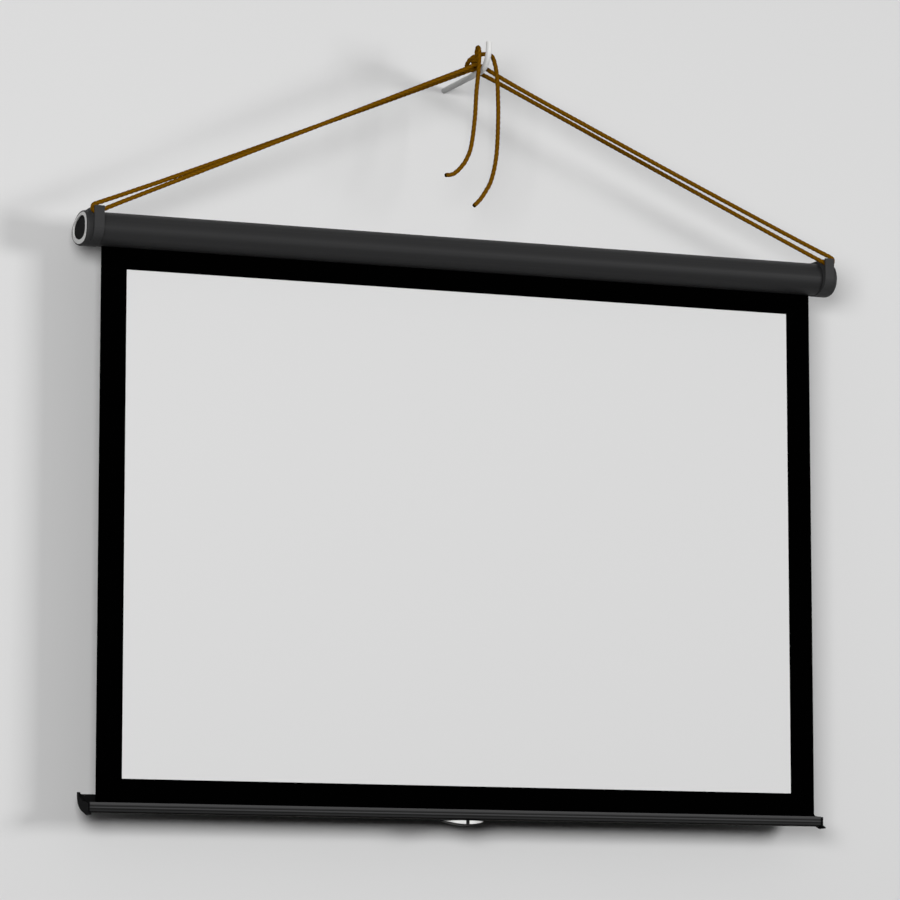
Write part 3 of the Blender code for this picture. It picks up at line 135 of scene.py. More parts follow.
# Wall, floor and light; a panel has its name, place, width, height and power
WALL_PLACE = (0.0, 0.0012, 0.8)
WALL_SIZE = (14.0, 6.0)
FLOOR_PLACE = (0.0, 0.0, -2.2)
FLOOR_SIZE = (30.0, 30.0)
WALL_THROWN = 0.20
FLOOR_THROWN = 0.01
FLOOR_EVEN = 0.82
PALE_PAINT = (0.722, 0.728)
EVEN_PAINT = 0.66
SEEN_ROOM = 0.68
ROOM_LIGHT = 0.30
LAMPS_AIM = Vector((0.0, 0.0, -0.9))
LAMPS = (
    ("left_light", (-3.3, -6.2, -0.48), 2.6, 1.9, 276.0),
    ("right_light", (3.9, -5.5, -0.50), 2.2, 1.4, 180.0),
)

# Camera: its place and view, worked out from the corners of the white area
CAMERA_LENS = 174.77
CAMERA_SENSOR = 36.0
CAMERA_PLACE = (-3.4489, -8.5322, -1.9909)
CAMERA_FORWARD = (0.37280, 0.91867, 0.13066)
CAMERA_REACH = 60.0

# Routes of the rope, from one loose end over the knot and both loops to the other

LOOSE_END_A = (
    (-0.01274, -0.22312, 0.02135),
    (-0.01252, -0.22170, 0.02173),
    (-0.0125, -0.2199, 0.0229),
    (-0.0130, -0.2187, 0.0253),
    (-0.0138, -0.2184, 0.0292),
    (-0.0147, -0.2188, 0.0345),
    (-0.0153, -0.2207, 0.0400),
    (-0.0159, -0.2245, 0.0440),
    (-0.0164, -0.2295, 0.0455),
    (-0.0169, -0.2345, 0.0440),
    (-0.0174, -0.2387, 0.0395),
    (-0.0178, -0.2407, 0.0320),
    (-0.0185, -0.2410, 0.0100),
    (-0.0205, -0.2395, -0.0200),
    (-0.0229, -0.2370, -0.0520),
    (-0.0259, -0.2340, -0.1134),
    (-0.0334, -0.2310, -0.1711),
    (-0.0430, -0.2300, -0.1960),
    (-0.0518, -0.2290, -0.2095),
    (-0.0620, -0.2280, -0.2210),
    (-0.0730, -0.2270, -0.2290),
    (-0.0894, -0.2260, -0.2320),
)

KNOT_FOOT = (-0.0190, -0.2235, 0.0085)
KNOT_TURNS = 1.25
KNOT_PITCH = 0.0102
KNOT_RADIUS = 0.0062
KNOT_POINTS_PER_TURN = 20

LEFT_LOOP = (
    (-0.01938, -0.22976, 0.00840),
    (-0.02205, -0.23018, 0.00769),
    (-0.0300, -0.2292, 0.0044),
    (-0.0390, -0.2281, 0.0000),
    (-0.0500, -0.2272, -0.0051),
    (-0.1000, -0.2240, -0.0272),
    (-0.3000, -0.2105, -0.1160),
    (-0.5000, -0.1970, -0.2049),
    (-0.7000, -0.1835, -0.2940),
    (-0.7800, -0.1780, -0.3297),
    (-0.8100, -0.1758, -0.3434),
    (-0.8210, -0.1749, -0.3486),
    (-0.82835, -0.1745, -0.35192),
    (-0.83276, -0.1745, -0.35266),
    (-0.83693, -0.1745, -0.35105),
    (-0.83971, -0.1745, -0.34755),
    (-0.84033, -0.1745, -0.34311),
    (-0.83861, -0.1745, -0.33898),
    (-0.83503, -0.1745, -0.33630),
    (-0.8240, -0.1749, -0.3320),
    (-0.8100, -0.1753, -0.3265),
    (-0.7800, -0.1765, -0.3147),
    (-0.7000, -0.1795, -0.2826),
    (-0.5000, -0.1871, -0.2000),
    (-0.3000, -0.1946, -0.1166),
    (-0.1000, -0.2022, -0.0318),
    (-0.0400, -0.2045, -0.0058),
    (-0.0200, -0.2053, 0.0030),
    (-0.0100, -0.2058, 0.0080),
    (-0.0055, -0.2060, 0.0103),
    (-0.0025, -0.2060, 0.0114),
    (-0.0003, -0.2060, 0.0114),
)

RIGHT_LOOP = (
    (0.0003, -0.2060, 0.0114),
    (0.0025, -0.2060, 0.0114),
    (0.0055, -0.2060, 0.0103),
    (0.0100, -0.2058, 0.0080),
    (0.0200, -0.2053, 0.0030),
    (0.0400, -0.2045, -0.0064),
    (0.1000, -0.2022, -0.0334),
    (0.3000, -0.1946, -0.1176),
    (0.5000, -0.1871, -0.2010),
    (0.7000, -0.1795, -0.2828),
    (0.7800, -0.1765, -0.3149),
    (0.8100, -0.1753, -0.3266),
    (0.8240, -0.1749, -0.3320),
    (0.83503, -0.1745, -0.33630),
    (0.83861, -0.1745, -0.33898),
    (0.84033, -0.1745, -0.34311),
    (0.83971, -0.1745, -0.34755),
    (0.83693, -0.1745, -0.35105),
    (0.83276, -0.1745, -0.35266),
    (0.82835, -0.1745, -0.35192),
    (0.8210, -0.1744, -0.3494),
    (0.8100, -0.1741, -0.3450),
    (0.7800, -0.1736, -0.3322),
    (0.7000, -0.1722, -0.2970),
    (0.5000, -0.1687, -0.2083),
    (0.3000, -0.1652, -0.1188),
    (0.1000, -0.1617, -0.0292),
    (0.0400, -0.1606, -0.0028),
    (0.0200, -0.1604, 0.0052),
    (0.0070, -0.1606, 0.0104),
    (-0.0060, -0.1635, 0.0122),
    (-0.0165, -0.1720, 0.0138),
    (-0.0228, -0.1840, 0.0165),
    (-0.02394, -0.1929, 0.01995),
    (-0.02370, -0.1955, 0.02145),
)

LOOSE_END_B = (
    (-0.02367, -0.19585, 0.02165),
    (-0.02343, -0.19845, 0.02315),
    (-0.0205, -0.2030, 0.0268),
    (-0.0150, -0.2070, 0.0307),
    (-0.0080, -0.2108, 0.0335),
    (0.0000, -0.2145, 0.0352),
    (0.0080, -0.2180, 0.0358),
    (0.0150, -0.2205, 0.0340),
    (0.0200, -0.2220, 0.0290),
    (0.0240, -0.2232, 0.0180),
    (0.0281, -0.2250, -0.0059),
    (0.0310, -0.2250, -0.0515),
    (0.0313, -0.2250, -0.1089),
    (0.0287, -0.2250, -0.1663),
    (0.0250, -0.2250, -0.1960),
    (0.0195, -0.2250, -0.2212),
    (0.0120, -0.2250, -0.2430),
    (0.0027, -0.2250, -0.2595),
    (-0.0100, -0.2250, -0.2780),
    (-0.0245, -0.2250, -0.2929),
)

# Camera

def place_camera():
    """The photograph's viewpoint: low and to the left of the screen, far off with a long lens."""
    data = bpy.data.cameras.new("camera")
    data.lens = CAMERA_LENS
    data.sensor_width = CAMERA_SENSOR
    data.clip_end = CAMERA_REACH
    camera = bpy.data.objects.new("camera", data)
    camera.location = CAMERA_PLACE
    camera.rotation_mode = "QUATERNION"
    camera.rotation_quaternion = Vector(CAMERA_FORWARD).to_track_quat("-Z", "Y")
    scene.collection.objects.link(camera)
    scene.camera = camera


# Shader building blocks

def add(tree, kind, inputs=(), **settings):
    """A node with its settings, and with a value or a link on each named input."""
    node = tree.nodes.new(kind)
    for key, value in settings.items():
        setattr(node, key, value)
    for key, value in dict(inputs).items():
        if isinstance(value, bpy.types.NodeSocket):
            tree.links.new(value, node.inputs[key])
        else:
            node.inputs[key].default_value = value
    return node


def calc(tree, operation, first, second=0.0, third=0.0, clamp=False):
    """One step of arithmetic."""
    node = add(tree, "ShaderNodeMath", {0: first, 1: second, 2: third}, operation=operation)
    node.use_clamp = clamp
    return node.outputs[0]


def blend_colour(tree, share, first, second):
    """A colour between two, by a share from 0 to 1."""
    node = add(tree, "ShaderNodeMix", {0: share, 6: first, 7: second}, data_type="RGBA")
    return node.outputs[2]


def remap(tree, value, low, high, new_low, new_high):
    """A value stretched from one range to another and kept within it."""
    inputs = {"Value": value, "From Min": low, "From Max": high, "To Min": new_low, "To Max": new_high}
    return add(tree, "ShaderNodeMapRange", inputs).outputs[0]


def stretched(tree, vector, scale):
    """A vector scaled by axis, so that a pattern is drawn out along one of them."""
    return add(tree, "ShaderNodeMapping", {"Vector": vector, "Scale": scale}).outputs[0]


def noise(tree, vector, scale, detail, roughness):
    """Soft noise from 0 to 1."""
    inputs = {"Vector": vector, "Scale": scale, "Detail": detail, "Roughness": roughness}
    return add(tree, "ShaderNodeTexNoise", inputs).outputs[0]


def new_group(name, inputs, outputs):
    """An empty shader group with its named sockets."""
    made = bpy.data.node_groups.new(name, "ShaderNodeTree")
    for label, kind, value in inputs:
        socket = made.interface.new_socket(name=label, in_out="INPUT", socket_type=kind)
        if value is not None:
            socket.default_value = value
    for label in outputs:
        kind = "NodeSocketVector" if label == "Normal" else "NodeSocketFloat"
        made.interface.new_socket(name=label, in_out="OUTPUT", socket_type=kind)
    given = made.nodes.new("NodeGroupInput").outputs
    result = made.nodes.new("NodeGroupOutput").inputs
    return made, given, result


def moulded_grain_group():
    """The fine leathery grain of a moulding's tool, as height and as light and dark specks."""
    made, given, result = new_group(
        "moulded_grain",
        [("Vector", "NodeSocketVector", None), ("Scale", "NodeSocketFloat", 1500.0)],
        ["Height", "Specks"],
    )
    cells = add(
        made,
        "ShaderNodeTexVoronoi",
        {"Vector": given["Vector"], "Scale": given["Scale"], "Smoothness": 0.6},
        feature="SMOOTH_F1",
    ).outputs[0]
    fine = noise(made, given["Vector"], given["Scale"], 3.0, 0.6)
    height = calc(made, "MULTIPLY_ADD", fine, 0.4, calc(made, "MULTIPLY", cells, 0.6))
    made.links.new(height, result["Height"])
    made.links.new(remap(made, fine, 0.35, 0.65, 0.0, 1.0), result["Specks"])
    return made


def drawn_lines_group():
    """Faint straight lines that a die leaves along an extrusion, which runs along X."""
    made, given, result = new_group(
        "drawn_lines",
        [("Vector", "NodeSocketVector", None), ("Scale", "NodeSocketFloat", 900.0)],
        ["Height", "Streaks"],
    )
    along = stretched(made, given["Vector"], (0.004, 1.0, 1.0))
    fine = noise(made, along, given["Scale"], 2.0, 0.5)
    broad = noise(made, along, calc(made, "MULTIPLY", given["Scale"], 0.12), 2.0, 0.5)
    made.links.new(fine, result["Height"])
    made.links.new(remap(made, broad, 0.35, 0.65, 0.0, 1.0), result["Streaks"])
    return made


def worn_edge_group():
    """A softened edge's normal, and a mask that is 1 where an outer edge is rubbed."""
    made, given, result = new_group(
        "worn_edge",
        [("Vector", "NodeSocketVector", None), ("Radius", "NodeSocketFloat", 0.0006)],
        ["Wear", "Normal"],
    )
    rounded = add(made, "ShaderNodeBevel", {"Radius": given["Radius"]}, samples=6).outputs[0]
    true = made.nodes.new("ShaderNodeNewGeometry").outputs["True Normal"]
    match = add(
        made, "ShaderNodeVectorMath", {0: rounded, 1: true}, operation="DOT_PRODUCT",
    ).outputs["Value"]
    turned = remap(made, match, 0.995, 0.88, 0.0, 1.0)
    patches = noise(made, given["Vector"], 140.0, 4.0, 0.65)
    rubbed = calc(made, "MULTIPLY", turned, remap(made, patches, 0.45, 0.70, 0.0, 1.0), clamp=True)
    made.links.new(rubbed, result["Wear"])
    made.links.new(rounded, result["Normal"])
    return made


def cloth_weave_group():
    """Plain weave seen through a coating: height of the threads and their slight shade."""
    made, given, result = new_group(
        "cloth_weave",
        [("Vector", "NodeSocketVector", None), ("Threads", "NodeSocketFloat", 1400.0)],
        ["Height", "Shade"],
    )
    place = add(made, "ShaderNodeSeparateXYZ", {0: given["Vector"]}).outputs
    turn = calc(made, "MULTIPLY", given["Threads"], math.pi)
    warp = calc(made, "SINE", calc(made, "MULTIPLY", place[0], turn))
    weft = calc(made, "SINE", calc(made, "MULTIPLY", place[1], turn))
    crossing = calc(made, "MULTIPLY", warp, weft)
    uneven = noise(made, given["Vector"], 60.0, 4.0, 0.6)
    height = calc(made, "MULTIPLY_ADD", crossing, 0.35, calc(made, "MULTIPLY", uneven, 0.65))
    made.links.new(height, result["Height"])
    made.links.new(remap(made, uneven, 0.30, 0.70, 0.0, 1.0), result["Shade"])
    return made


def rope_lay_group():
    """Yarns that run along a laid rope, and the grooves between its strands."""
    made, given, result = new_group(
        "rope_lay",
        [("Section", "NodeSocketVector", None), ("Yarns", "NodeSocketFloat", 27.0)],
        ["Height", "Shade", "Groove"],
    )
    place = add(made, "ShaderNodeSeparateXYZ", {0: given["Section"]}).outputs
    angle = calc(made, "ARCTAN2", place[1], place[0])
    strand = calc(made, "COSINE", calc(made, "MULTIPLY", angle, float(ROPE_STRANDS)))
    lay = calc(made, "MULTIPLY_ADD", place[2], math.tau / ROPE_TURN, angle)
    yarn = calc(made, "SINE", calc(made, "MULTIPLY", lay, given["Yarns"]))
    round_the_rope = {0: calc(made, "COSINE", lay), 1: calc(made, "SINE", lay)}
    along_the_rope = {2: calc(made, "MULTIPLY", place[2], 60.0)}
    spot = add(made, "ShaderNodeCombineXYZ", {**round_the_rope, **along_the_rope}).outputs[0]
    fibres = noise(made, spot, 5.0, 5.0, 0.7)
    height = calc(made, "MULTIPLY_ADD", yarn, 0.30, fibres)
    made.links.new(height, result["Height"])
    shade = calc(made, "MULTIPLY_ADD", yarn, 0.10, fibres)
    made.links.new(remap(made, shade, 0.30, 0.72, 0.0, 1.0), result["Shade"])
    made.links.new(remap(made, strand, -0.35, -1.0, 0.0, 1.0), result["Groove"])
    return made


GROUPS = {
    "moulded_grain": moulded_grain_group(),
    "drawn_lines": drawn_lines_group(),
    "worn_edge": worn_edge_group(),
    "cloth_weave": cloth_weave_group(),
    "rope_lay": rope_lay_group(),
}


def use_group(tree, name, inputs):
    """One of the shared groups, placed in a material with its own values."""
    return add(tree, "ShaderNodeGroup", inputs, node_tree=GROUPS[name]).outputs


def new_material(name, roughness=0.5, metallic=0.0, specular=0.5, coat=0.0):
    """A material with a Principled shader whose plain values are set on its own sockets."""
    made = bpy.data.materials.new(name)
    made.use_nodes = True
    tree = made.node_tree
    shader = tree.nodes["Principled BSDF"]
    shader.inputs["Roughness"].default_value = roughness
    shader.inputs["Metallic"].default_value = metallic
    shader.inputs["Specular IOR Level"].default_value = specular
    shader.inputs["Coat Weight"].default_value = coat
    shader.inputs["Coat Roughness"].default_value = 0.15
    return made, tree, shader.inputs


def object_place(tree):
    """The point in the piece's own frame."""
    return tree.nodes.new("ShaderNodeTexCoord").outputs["Object"]


def bumped(tree, height, distance, strength, normal=None):
    """A normal that a height disturbs."""
    inputs = {"Height": height, "Distance": distance, "Strength": strength}
    if normal is not None:
        inputs["Normal"] = normal
    return add(tree, "ShaderNodeBump", inputs).outputs[0]


def colour(red, green, blue):
    """A shader colour."""
    return (red, green, blue, 1.0)


def grey(value):
    """A shader colour without a hue."""
    return colour(value, value, value)


def times(base, share):
    """A shader colour made lighter or darker, up to white."""
    return colour(*[min(1.0, value * share) for value in base[:3]])


def uneven_roughness(tree, specks, shader, low, high):
    """A roughness that follows the specks of a grain."""
    tree.links.new(remap(tree, specks, 0.0, 1.0, low, high), shader["Roughness"])


# Finishes

def extruded_coat(tree, place, shader, roughness, normal=None):
    """Orange peel over faint die lines, as bump and roughness; gives the streaks for the colour."""
    grain = use_group(tree, "moulded_grain", {"Vector": place, "Scale": COAT_GRAIN_SCALE})
    drawn = use_group(tree, "drawn_lines", {"Vector": place, "Scale": DIE_LINES_SCALE})
    uneven_roughness(tree, grain["Specks"], shader, roughness - 0.04, roughness + 0.05)
    lined = bumped(tree, drawn["Height"], DIE_LINES_DEPTH, 0.5, normal)
    grained = bumped(tree, grain["Height"], COAT_GRAIN_DEPTH, 0.6, lined)
    tree.links.new(grained, shader["Normal"])
    return drawn["Streaks"]


def coated_metal(name, base, worn, roughness, specular):
    """Powder coat over extruded aluminium, rubbed lighter along its edges."""
    made, tree, shader = new_material(name, specular=specular)
    place = object_place(tree)
    edge = use_group(tree, "worn_edge", {"Vector": place, "Radius": 0.0007})
    streaks = extruded_coat(tree, place, shader, roughness, edge["Normal"])
    coat = blend_colour(tree, streaks, base, times(base, 1.30))
    rubbed = blend_colour(tree, calc(tree, "MULTIPLY", edge["Wear"], 0.55), coat, worn)
    tree.links.new(rubbed, shader["Base Color"])
    return made


def lip_wear_and_painted_shade(tree, place):
    """How light the bar's coat is: in bands down the ribbed front that are partly wear and partly painted
    light and shade of the ribs, black at the bottom edge and underside, and with painted shade in the
    gutter behind it.
    """
    axes = add(tree, "ShaderNodeSeparateXYZ", {0: place}).outputs
    below = remap(tree, axes[2], LIP_TOP, LIP_TOP - LIP_HEIGHT, 0.0, 1.0)
    ramp = add(tree, "ShaderNodeValToRGB", {"Fac": below})
    stops = ramp.color_ramp.elements
    stops.remove(stops[1])
    for share_down, share in LIP_WEAR_AND_SHADE_BANDS:
        stops.new(share_down).color = grey(share)
    stops.remove(stops[0])
    # Painted shade: behind the front, the gutter included, the coat is dimmed
    in_front = remap(tree, axes[1], *LIP_FRONT_ENDS, 0.0, 1.0)
    shade = blend_colour(tree, in_front, grey(GUTTER_PAINTED_SHADE), ramp.outputs["Color"])
    return add(tree, "ShaderNodeRGBToBW", {0: shade}).outputs[0]


def ribbed_bar_coat(name, light, roughness, specular):
    """The bar's dark coat, lighter on the crests of its ribbed front partly from wear and partly as
    painted highlight, with painted shade in its grooves, underside and gutter.
    """
    made, tree, shader = new_material(name, specular=specular)
    place = object_place(tree)
    streaks = extruded_coat(tree, place, shader, roughness)
    # Bands of wear and painted light and shade down the front, from near black to the coat's colour
    banded_wear_and_shade = blend_colour(tree, lip_wear_and_painted_shade(tree, place), grey(0.0003), light)
    dimmer = blend_colour(tree, 0.85, grey(0.0), banded_wear_and_shade)
    tree.links.new(blend_colour(tree, streaks, dimmer, banded_wear_and_shade), shader["Base Color"])
    return made


def moulded_plastic(name, base, roughness, specular, scale=1500.0, depth=0.00006, worn=None):
    """Injection-moulded plastic with a fine tool grain and slightly rubbed edges."""
    made, tree, shader = new_material(name, specular=specular)
    place = object_place(tree)
    grain = use_group(tree, "moulded_grain", {"Vector": place, "Scale": scale})
    edge = use_group(tree, "worn_edge", {"Vector": place, "Radius": 0.0006})
    lighter = times(base, 1.18)
    mottled = blend_colour(tree, noise(tree, place, 30.0, 4.0, 0.6), base, lighter)
    rubbed = blend_colour(tree, calc(tree, "MULTIPLY", edge["Wear"], 0.45), mottled, worn or lighter)
    tree.links.new(rubbed, shader["Base Color"])
    uneven_roughness(tree, grain["Specks"], shader, roughness - 0.05, roughness + 0.05)
    tree.links.new(bumped(tree, grain["Height"], depth, 0.6, edge["Normal"]), shader["Normal"])
    return made


def painted_rod(name, base):
    """Satin white paint with the soft dimples of a sprayed coat, and painted shade that darkens the shank
    towards the wall.
    """
    made, tree, shader = new_material(name, specular=0.5, coat=0.15)
    place = object_place(tree)
    peel = noise(tree, place, 420.0, 2.0, 0.4)
    fine = noise(tree, place, 60.0, 5.0, 0.6)
    shade = colour(base[0] * 0.93, base[1] * 0.93, base[2] * 0.92)
    painted_shade = times(base, HOOK_SHADE_SHARE)
    mottled = blend_colour(tree, remap(tree, fine, 0.4, 0.7, 0.0, 0.7), base, shade)
    # Painted shade: the shank's colour darkens towards the wall
    reach = add(tree, "ShaderNodeSeparateXYZ", {0: place}).outputs[1]
    shade_near_wall = remap(tree, reach, *HOOK_SHADE_ENDS, 0.0, 1.0)
    tree.links.new(blend_colour(tree, shade_near_wall, mottled, painted_shade), shader["Base Color"])
    tree.links.new(remap(tree, fine, 0.3, 0.7, 0.30, 0.42), shader["Roughness"])
    tree.links.new(bumped(tree, peel, 0.00012, 0.5), shader["Normal"])
    return made


def rope_fibre(name):
    """Golden brown laid fibre, with painted shade in the grooves between its strands, and singed at the
    loose ends.
    """
    made, tree, shader = new_material(name, roughness=0.85, specular=0.025)
    section = add(tree, "ShaderNodeAttribute", attribute_name="section").outputs["Vector"]
    singed = add(tree, "ShaderNodeAttribute", attribute_name="singed").outputs["Fac"]
    lay = use_group(tree, "rope_lay", {"Section": section, "Yarns": 27.0})
    fibre = blend_colour(tree, lay["Shade"], ROPE_DARK, ROPE_LIGHT)
    # Painted shade in the grooves between the strands
    groove_shaded = blend_colour(tree, calc(tree, "MULTIPLY", lay["Groove"], 0.50), fibre, ROPE_GROOVE_SHADE)
    tree.links.new(blend_colour(tree, singed, groove_shaded, ROPE_SINGED), shader["Base Color"])
    tree.links.new(bumped(tree, lay["Height"], 0.00035, 0.8), shader["Normal"])
    return made


def sheet_cloth(name, base, lighter, roughness, specular, size):
    """Coated cloth: the weave shows faintly through and the coat is slightly uneven."""
    made, tree, shader = new_material(name, specular=specular)
    flat = tree.nodes.new("ShaderNodeTexCoord").outputs["UV"]
    place = stretched(tree, flat, (size[0], size[1], 1.0))
    weave = use_group(tree, "cloth_weave", {"Vector": place, "Threads": THREADS_PER_METRE})
    tree.links.new(blend_colour(tree, weave["Shade"], base, lighter), shader["Base Color"])
    uneven_roughness(tree, weave["Shade"], shader, roughness - 0.03, roughness + 0.03)
    tree.links.new(bumped(tree, weave["Height"], THREAD_RELIEF, 0.4), shader["Normal"])
    return made


def machined_metal(name, base, roughness):
    """Turned or drawn bare metal with fine marks."""
    made, tree, shader = new_material(name, metallic=1.0)
    place = object_place(tree)
    marks = noise(tree, stretched(tree, place, (1.0, 0.15, 0.15)), 900.0, 3.0, 0.6)
    stain = remap(tree, noise(tree, place, 45.0, 4.0, 0.6), 0.4, 0.7, 0.0, 1.0)
    tree.links.new(blend_colour(tree, stain, base, times(base, 0.82)), shader["Base Color"])
    tree.links.new(remap(tree, marks, 0.3, 0.7, roughness - 0.06, roughness + 0.08), shader["Roughness"])
    tree.links.new(bumped(tree, marks, 0.00002, 0.5), shader["Normal"])
    return made


# Rope

def smooth_route(route, bend_step, straight_step):
    """Points along a smooth curve through a route, closer together where it bends."""
    points = [Vector(point) for point in route]
    padded = [points[0] * 2 - points[1], *points, points[-1] * 2 - points[-2]]
    dense = [points[0]]
    for before, start, end, after in zip(padded, padded[1:], padded[2:], padded[3:]):
        length = (end - start).length
        turn = (start - before).angle(end - start) + (end - start).angle(after - end)
        step = bend_step if turn > math.radians(12) else straight_step
        pieces = max(1, round(length / step))
        into = (end - before) * length / ((start - before).length + length)
        out = (after - start) * length / (length + (after - end).length)
        for index in range(1, pieces + 1):
            share = index / pieces
            squared = share * share
            cubed = squared * share
            dense.append(
                start * (2 * cubed - 3 * squared + 1)
                + into * (cubed - 2 * squared + share)
                + end * (3 * squared - 2 * cubed)
                + out * (cubed - squared)
            )
    return dense


def knot_points():
    """The upright winding of the rope at the hook, from its foot to its top."""
    count = round(KNOT_TURNS * KNOT_POINTS_PER_TURN)
    x, y, z = KNOT_FOOT
    points = []
    for index in range(count + 1):
        angle = math.tau * index / KNOT_POINTS_PER_TURN - math.pi / 2
        rise = KNOT_PITCH * index / KNOT_POINTS_PER_TURN
        across = KNOT_RADIUS * math.cos(angle)
        back = KNOT_RADIUS * math.sin(angle)
        points.append(Vector((x + across, y + back, z + rise)))
    return points


def even_points(points, step):
    """The same line with points one step apart, and the arc length at each given point."""
    along = [0.0]
    for first, second in zip(points, points[1:]):
        along.append(along[-1] + (second - first).length)
    count = round(along[-1] / step)
    even = []
    index = 0
    for number in range(count + 1):
        distance = along[-1] * number / count
        while index < len(points) - 2 and along[index + 1] < distance:
            index += 1
        span = along[index + 1] - along[index]
        even.append(points[index].lerp(points[index + 1], (distance - along[index]) / span))
    return even, along


def ring_frames(points):
    """A matrix at each point whose Z runs along the line and whose X does not spin."""
    frames = []
    tangents = []
    for index in range(len(points)):
        before = points[max(0, index - 1)]
        after = points[min(len(points) - 1, index + 1)]
        tangents.append((after - before).normalized())
    side = tangents[0].orthogonal().normalized()
    for index, (point, tangent) in enumerate(zip(points, tangents)):
        if index:
            side = tangents[index - 1].rotation_difference(tangent) @ side
            side = (side - tangent * side.dot(tangent)).normalized()
        across = tangent.cross(side)
        turn = Matrix((side, across, tangent)).transposed().to_4x4()
        frames.append(Matrix.Translation(point) @ turn)
    return frames


def rope_piece(name, rings, first_length, finish, tapers=(False, False)):
    """A laid rope through ring frames: a grid rolled into a three-stranded tube that twists."""
    work = bmesh.new()
    section = work.verts.layers.float_vector.new("section")
    singed = work.verts.layers.float.new("singed")
    last = len(rings) - 1
    bmesh.ops.create_grid(work, x_segments=ROPE_SECTION_POINTS, y_segments=last, size=0.5)
    for corner in work.verts:
        angle = math.tau * round((corner.co.x + 0.5) * ROPE_SECTION_POINTS) / ROPE_SECTION_POINTS
        index = round((corner.co.y + 0.5) * last)
        length = first_length + ROPE_RING_STEP * index
        from_end = min(index if tapers[0] else last, last - index if tapers[1] else last)
        size = END_SIZES.get(from_end, 1.0)
        lobe = (1 + math.cos(ROPE_STRANDS * angle)) / 2
        radius = ROPE_RADIUS * size * (1 - ROPE_GROOVE_SHARE * (1 - lobe ** ROPE_STRAND_FULLNESS))
        around = angle + math.tau * length / ROPE_TURN
        corner.co = rings[index] @ Vector((radius * math.cos(around), radius * math.sin(around), 0.0))
        corner[section] = (math.cos(angle), math.sin(angle), length)
        corner[singed] = max(0.0, 1 - from_end / 2)
    bmesh.ops.remove_doubles(work, verts=work.verts, dist=0.000001)
    bmesh.ops.holes_fill(work, edges=[edge for edge in work.edges if edge.is_boundary], sides=0)
    bmesh.ops.recalc_face_normals(work, faces=work.faces)
    return add_piece(name, work, finish, "case")


# Making pieces

def add_piece(name, work, finish, body, smooth_angle=40.0):
    """Turn a bmesh into a piece that rides on a body and has one finish."""
    mesh = bpy.data.meshes.new(name)
    work.to_mesh(mesh)
    work.free()
    mesh.materials.append(finish)
    mesh.shade_smooth()
    mesh.set_sharp_from_angle(angle=math.radians(smooth_angle))
    piece = bpy.data.objects.new(name, mesh)
    scene.collection.objects.link(piece)
    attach(piece, body)
    return piece


def tie_rope(finish):
    """The whole rope as one line, cut into the sling with its knot and the two loose ends."""
    parts = [
        list(reversed(smooth_route(LOOSE_END_A, ROPE_BEND_STEP, ROPE_END_STEP))),
        list(reversed(knot_points())),
        smooth_route(LEFT_LOOP, ROPE_BEND_STEP, ROPE_LOOP_STEP),
        smooth_route(RIGHT_LOOP, ROPE_BEND_STEP, ROPE_LOOP_STEP),
        smooth_route(LOOSE_END_B, ROPE_BEND_STEP, ROPE_END_STEP),
    ]
    whole = [point for part in parts for point in part]
    even, along = even_points(whole, ROPE_RING_STEP)
    frames = ring_frames(even)
    step = along[-1] / (len(even) - 1)
    first_cut = round(along[len(parts[0])] / step)
    last_cut = round(along[len(whole) - len(parts[-1])] / step)
    seam = Matrix.Translation((0.0, 0.0, ROPE_SEAM))
    sling = frames[first_cut:last_cut + 1]
    sling[0] = sling[0] @ seam
    sling[-1] = sling[-1] @ seam.inverted()
    spans = {"rope_end_a": frames[:first_cut + 1], "rope_sling": sling, "rope_end_b": frames[last_cut:]}
    first_rings = {"rope_end_a": 0, "rope_sling": first_cut, "rope_end_b": last_cut}
    tapers = {"rope_end_a": (True, False), "rope_sling": (False, False), "rope_end_b": (False, True)}
    stands_for = {
        "rope_end_a": ("rope_tail_a",),
        "rope_sling": ("rope_knot", "rope_left_loop", "rope_right_loop"),
        "rope_end_b": ("rope_tail_b",),
    }
    for name, rings in spans.items():
        piece = rope_piece(name, rings, first_rings[name] * ROPE_RING_STEP, finish, tapers[name])
        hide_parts(*stands_for[name])
        path = [tuple(ring.translation) for ring in rings]
        if name == "rope_end_a":
            path.reverse()


def ripple(x, z):
    """The faint waves of a hanging sheet, still at its slot and hem."""
    down = min(1.0, max(0.0, (STILL_SLOT[0] - z) / STILL_SLOT[1]))
    up = min(1.0, max(0.0, (z - STILL_HEM[0]) / STILL_HEM[1]))
    wave = math.sin(x * 5.3 + 0.6 * math.sin(z * 3.1)) + 0.5 * math.sin(x * 11.7 - z * 4.2 + 1.3)
    edge = 0.6 + 0.4 * (x / SHEET_HALF_WIDTH) ** 2
    return WAVE_HEIGHT * wave * edge * down * up


def hanging_sheet(name, half_width, top, bottom, front, thickness, finish):
    """A thin upright sheet with its front at a given place, faintly waved."""
    work = bmesh.new()
    across, down = SHEET_CELLS
    bmesh.ops.create_grid(work, x_segments=across, y_segments=down, size=0.5, calc_uvs=True)
    turn = Matrix.Rotation(math.radians(90), 4, "X")
    size = Matrix.Diagonal((half_width * 2, 1.0, top - bottom, 1.0))
    place = Matrix.Translation((0.0, front, (top + bottom) / 2))
    bmesh.ops.transform(work, matrix=place @ size @ turn, verts=work.verts)
    for corner in work.verts:
        corner.co.y += ripple(corner.co.x, corner.co.z)
    bmesh.ops.solidify(work, geom=work.faces, thickness=thickness)
    return add_piece(name, work, finish, "case")


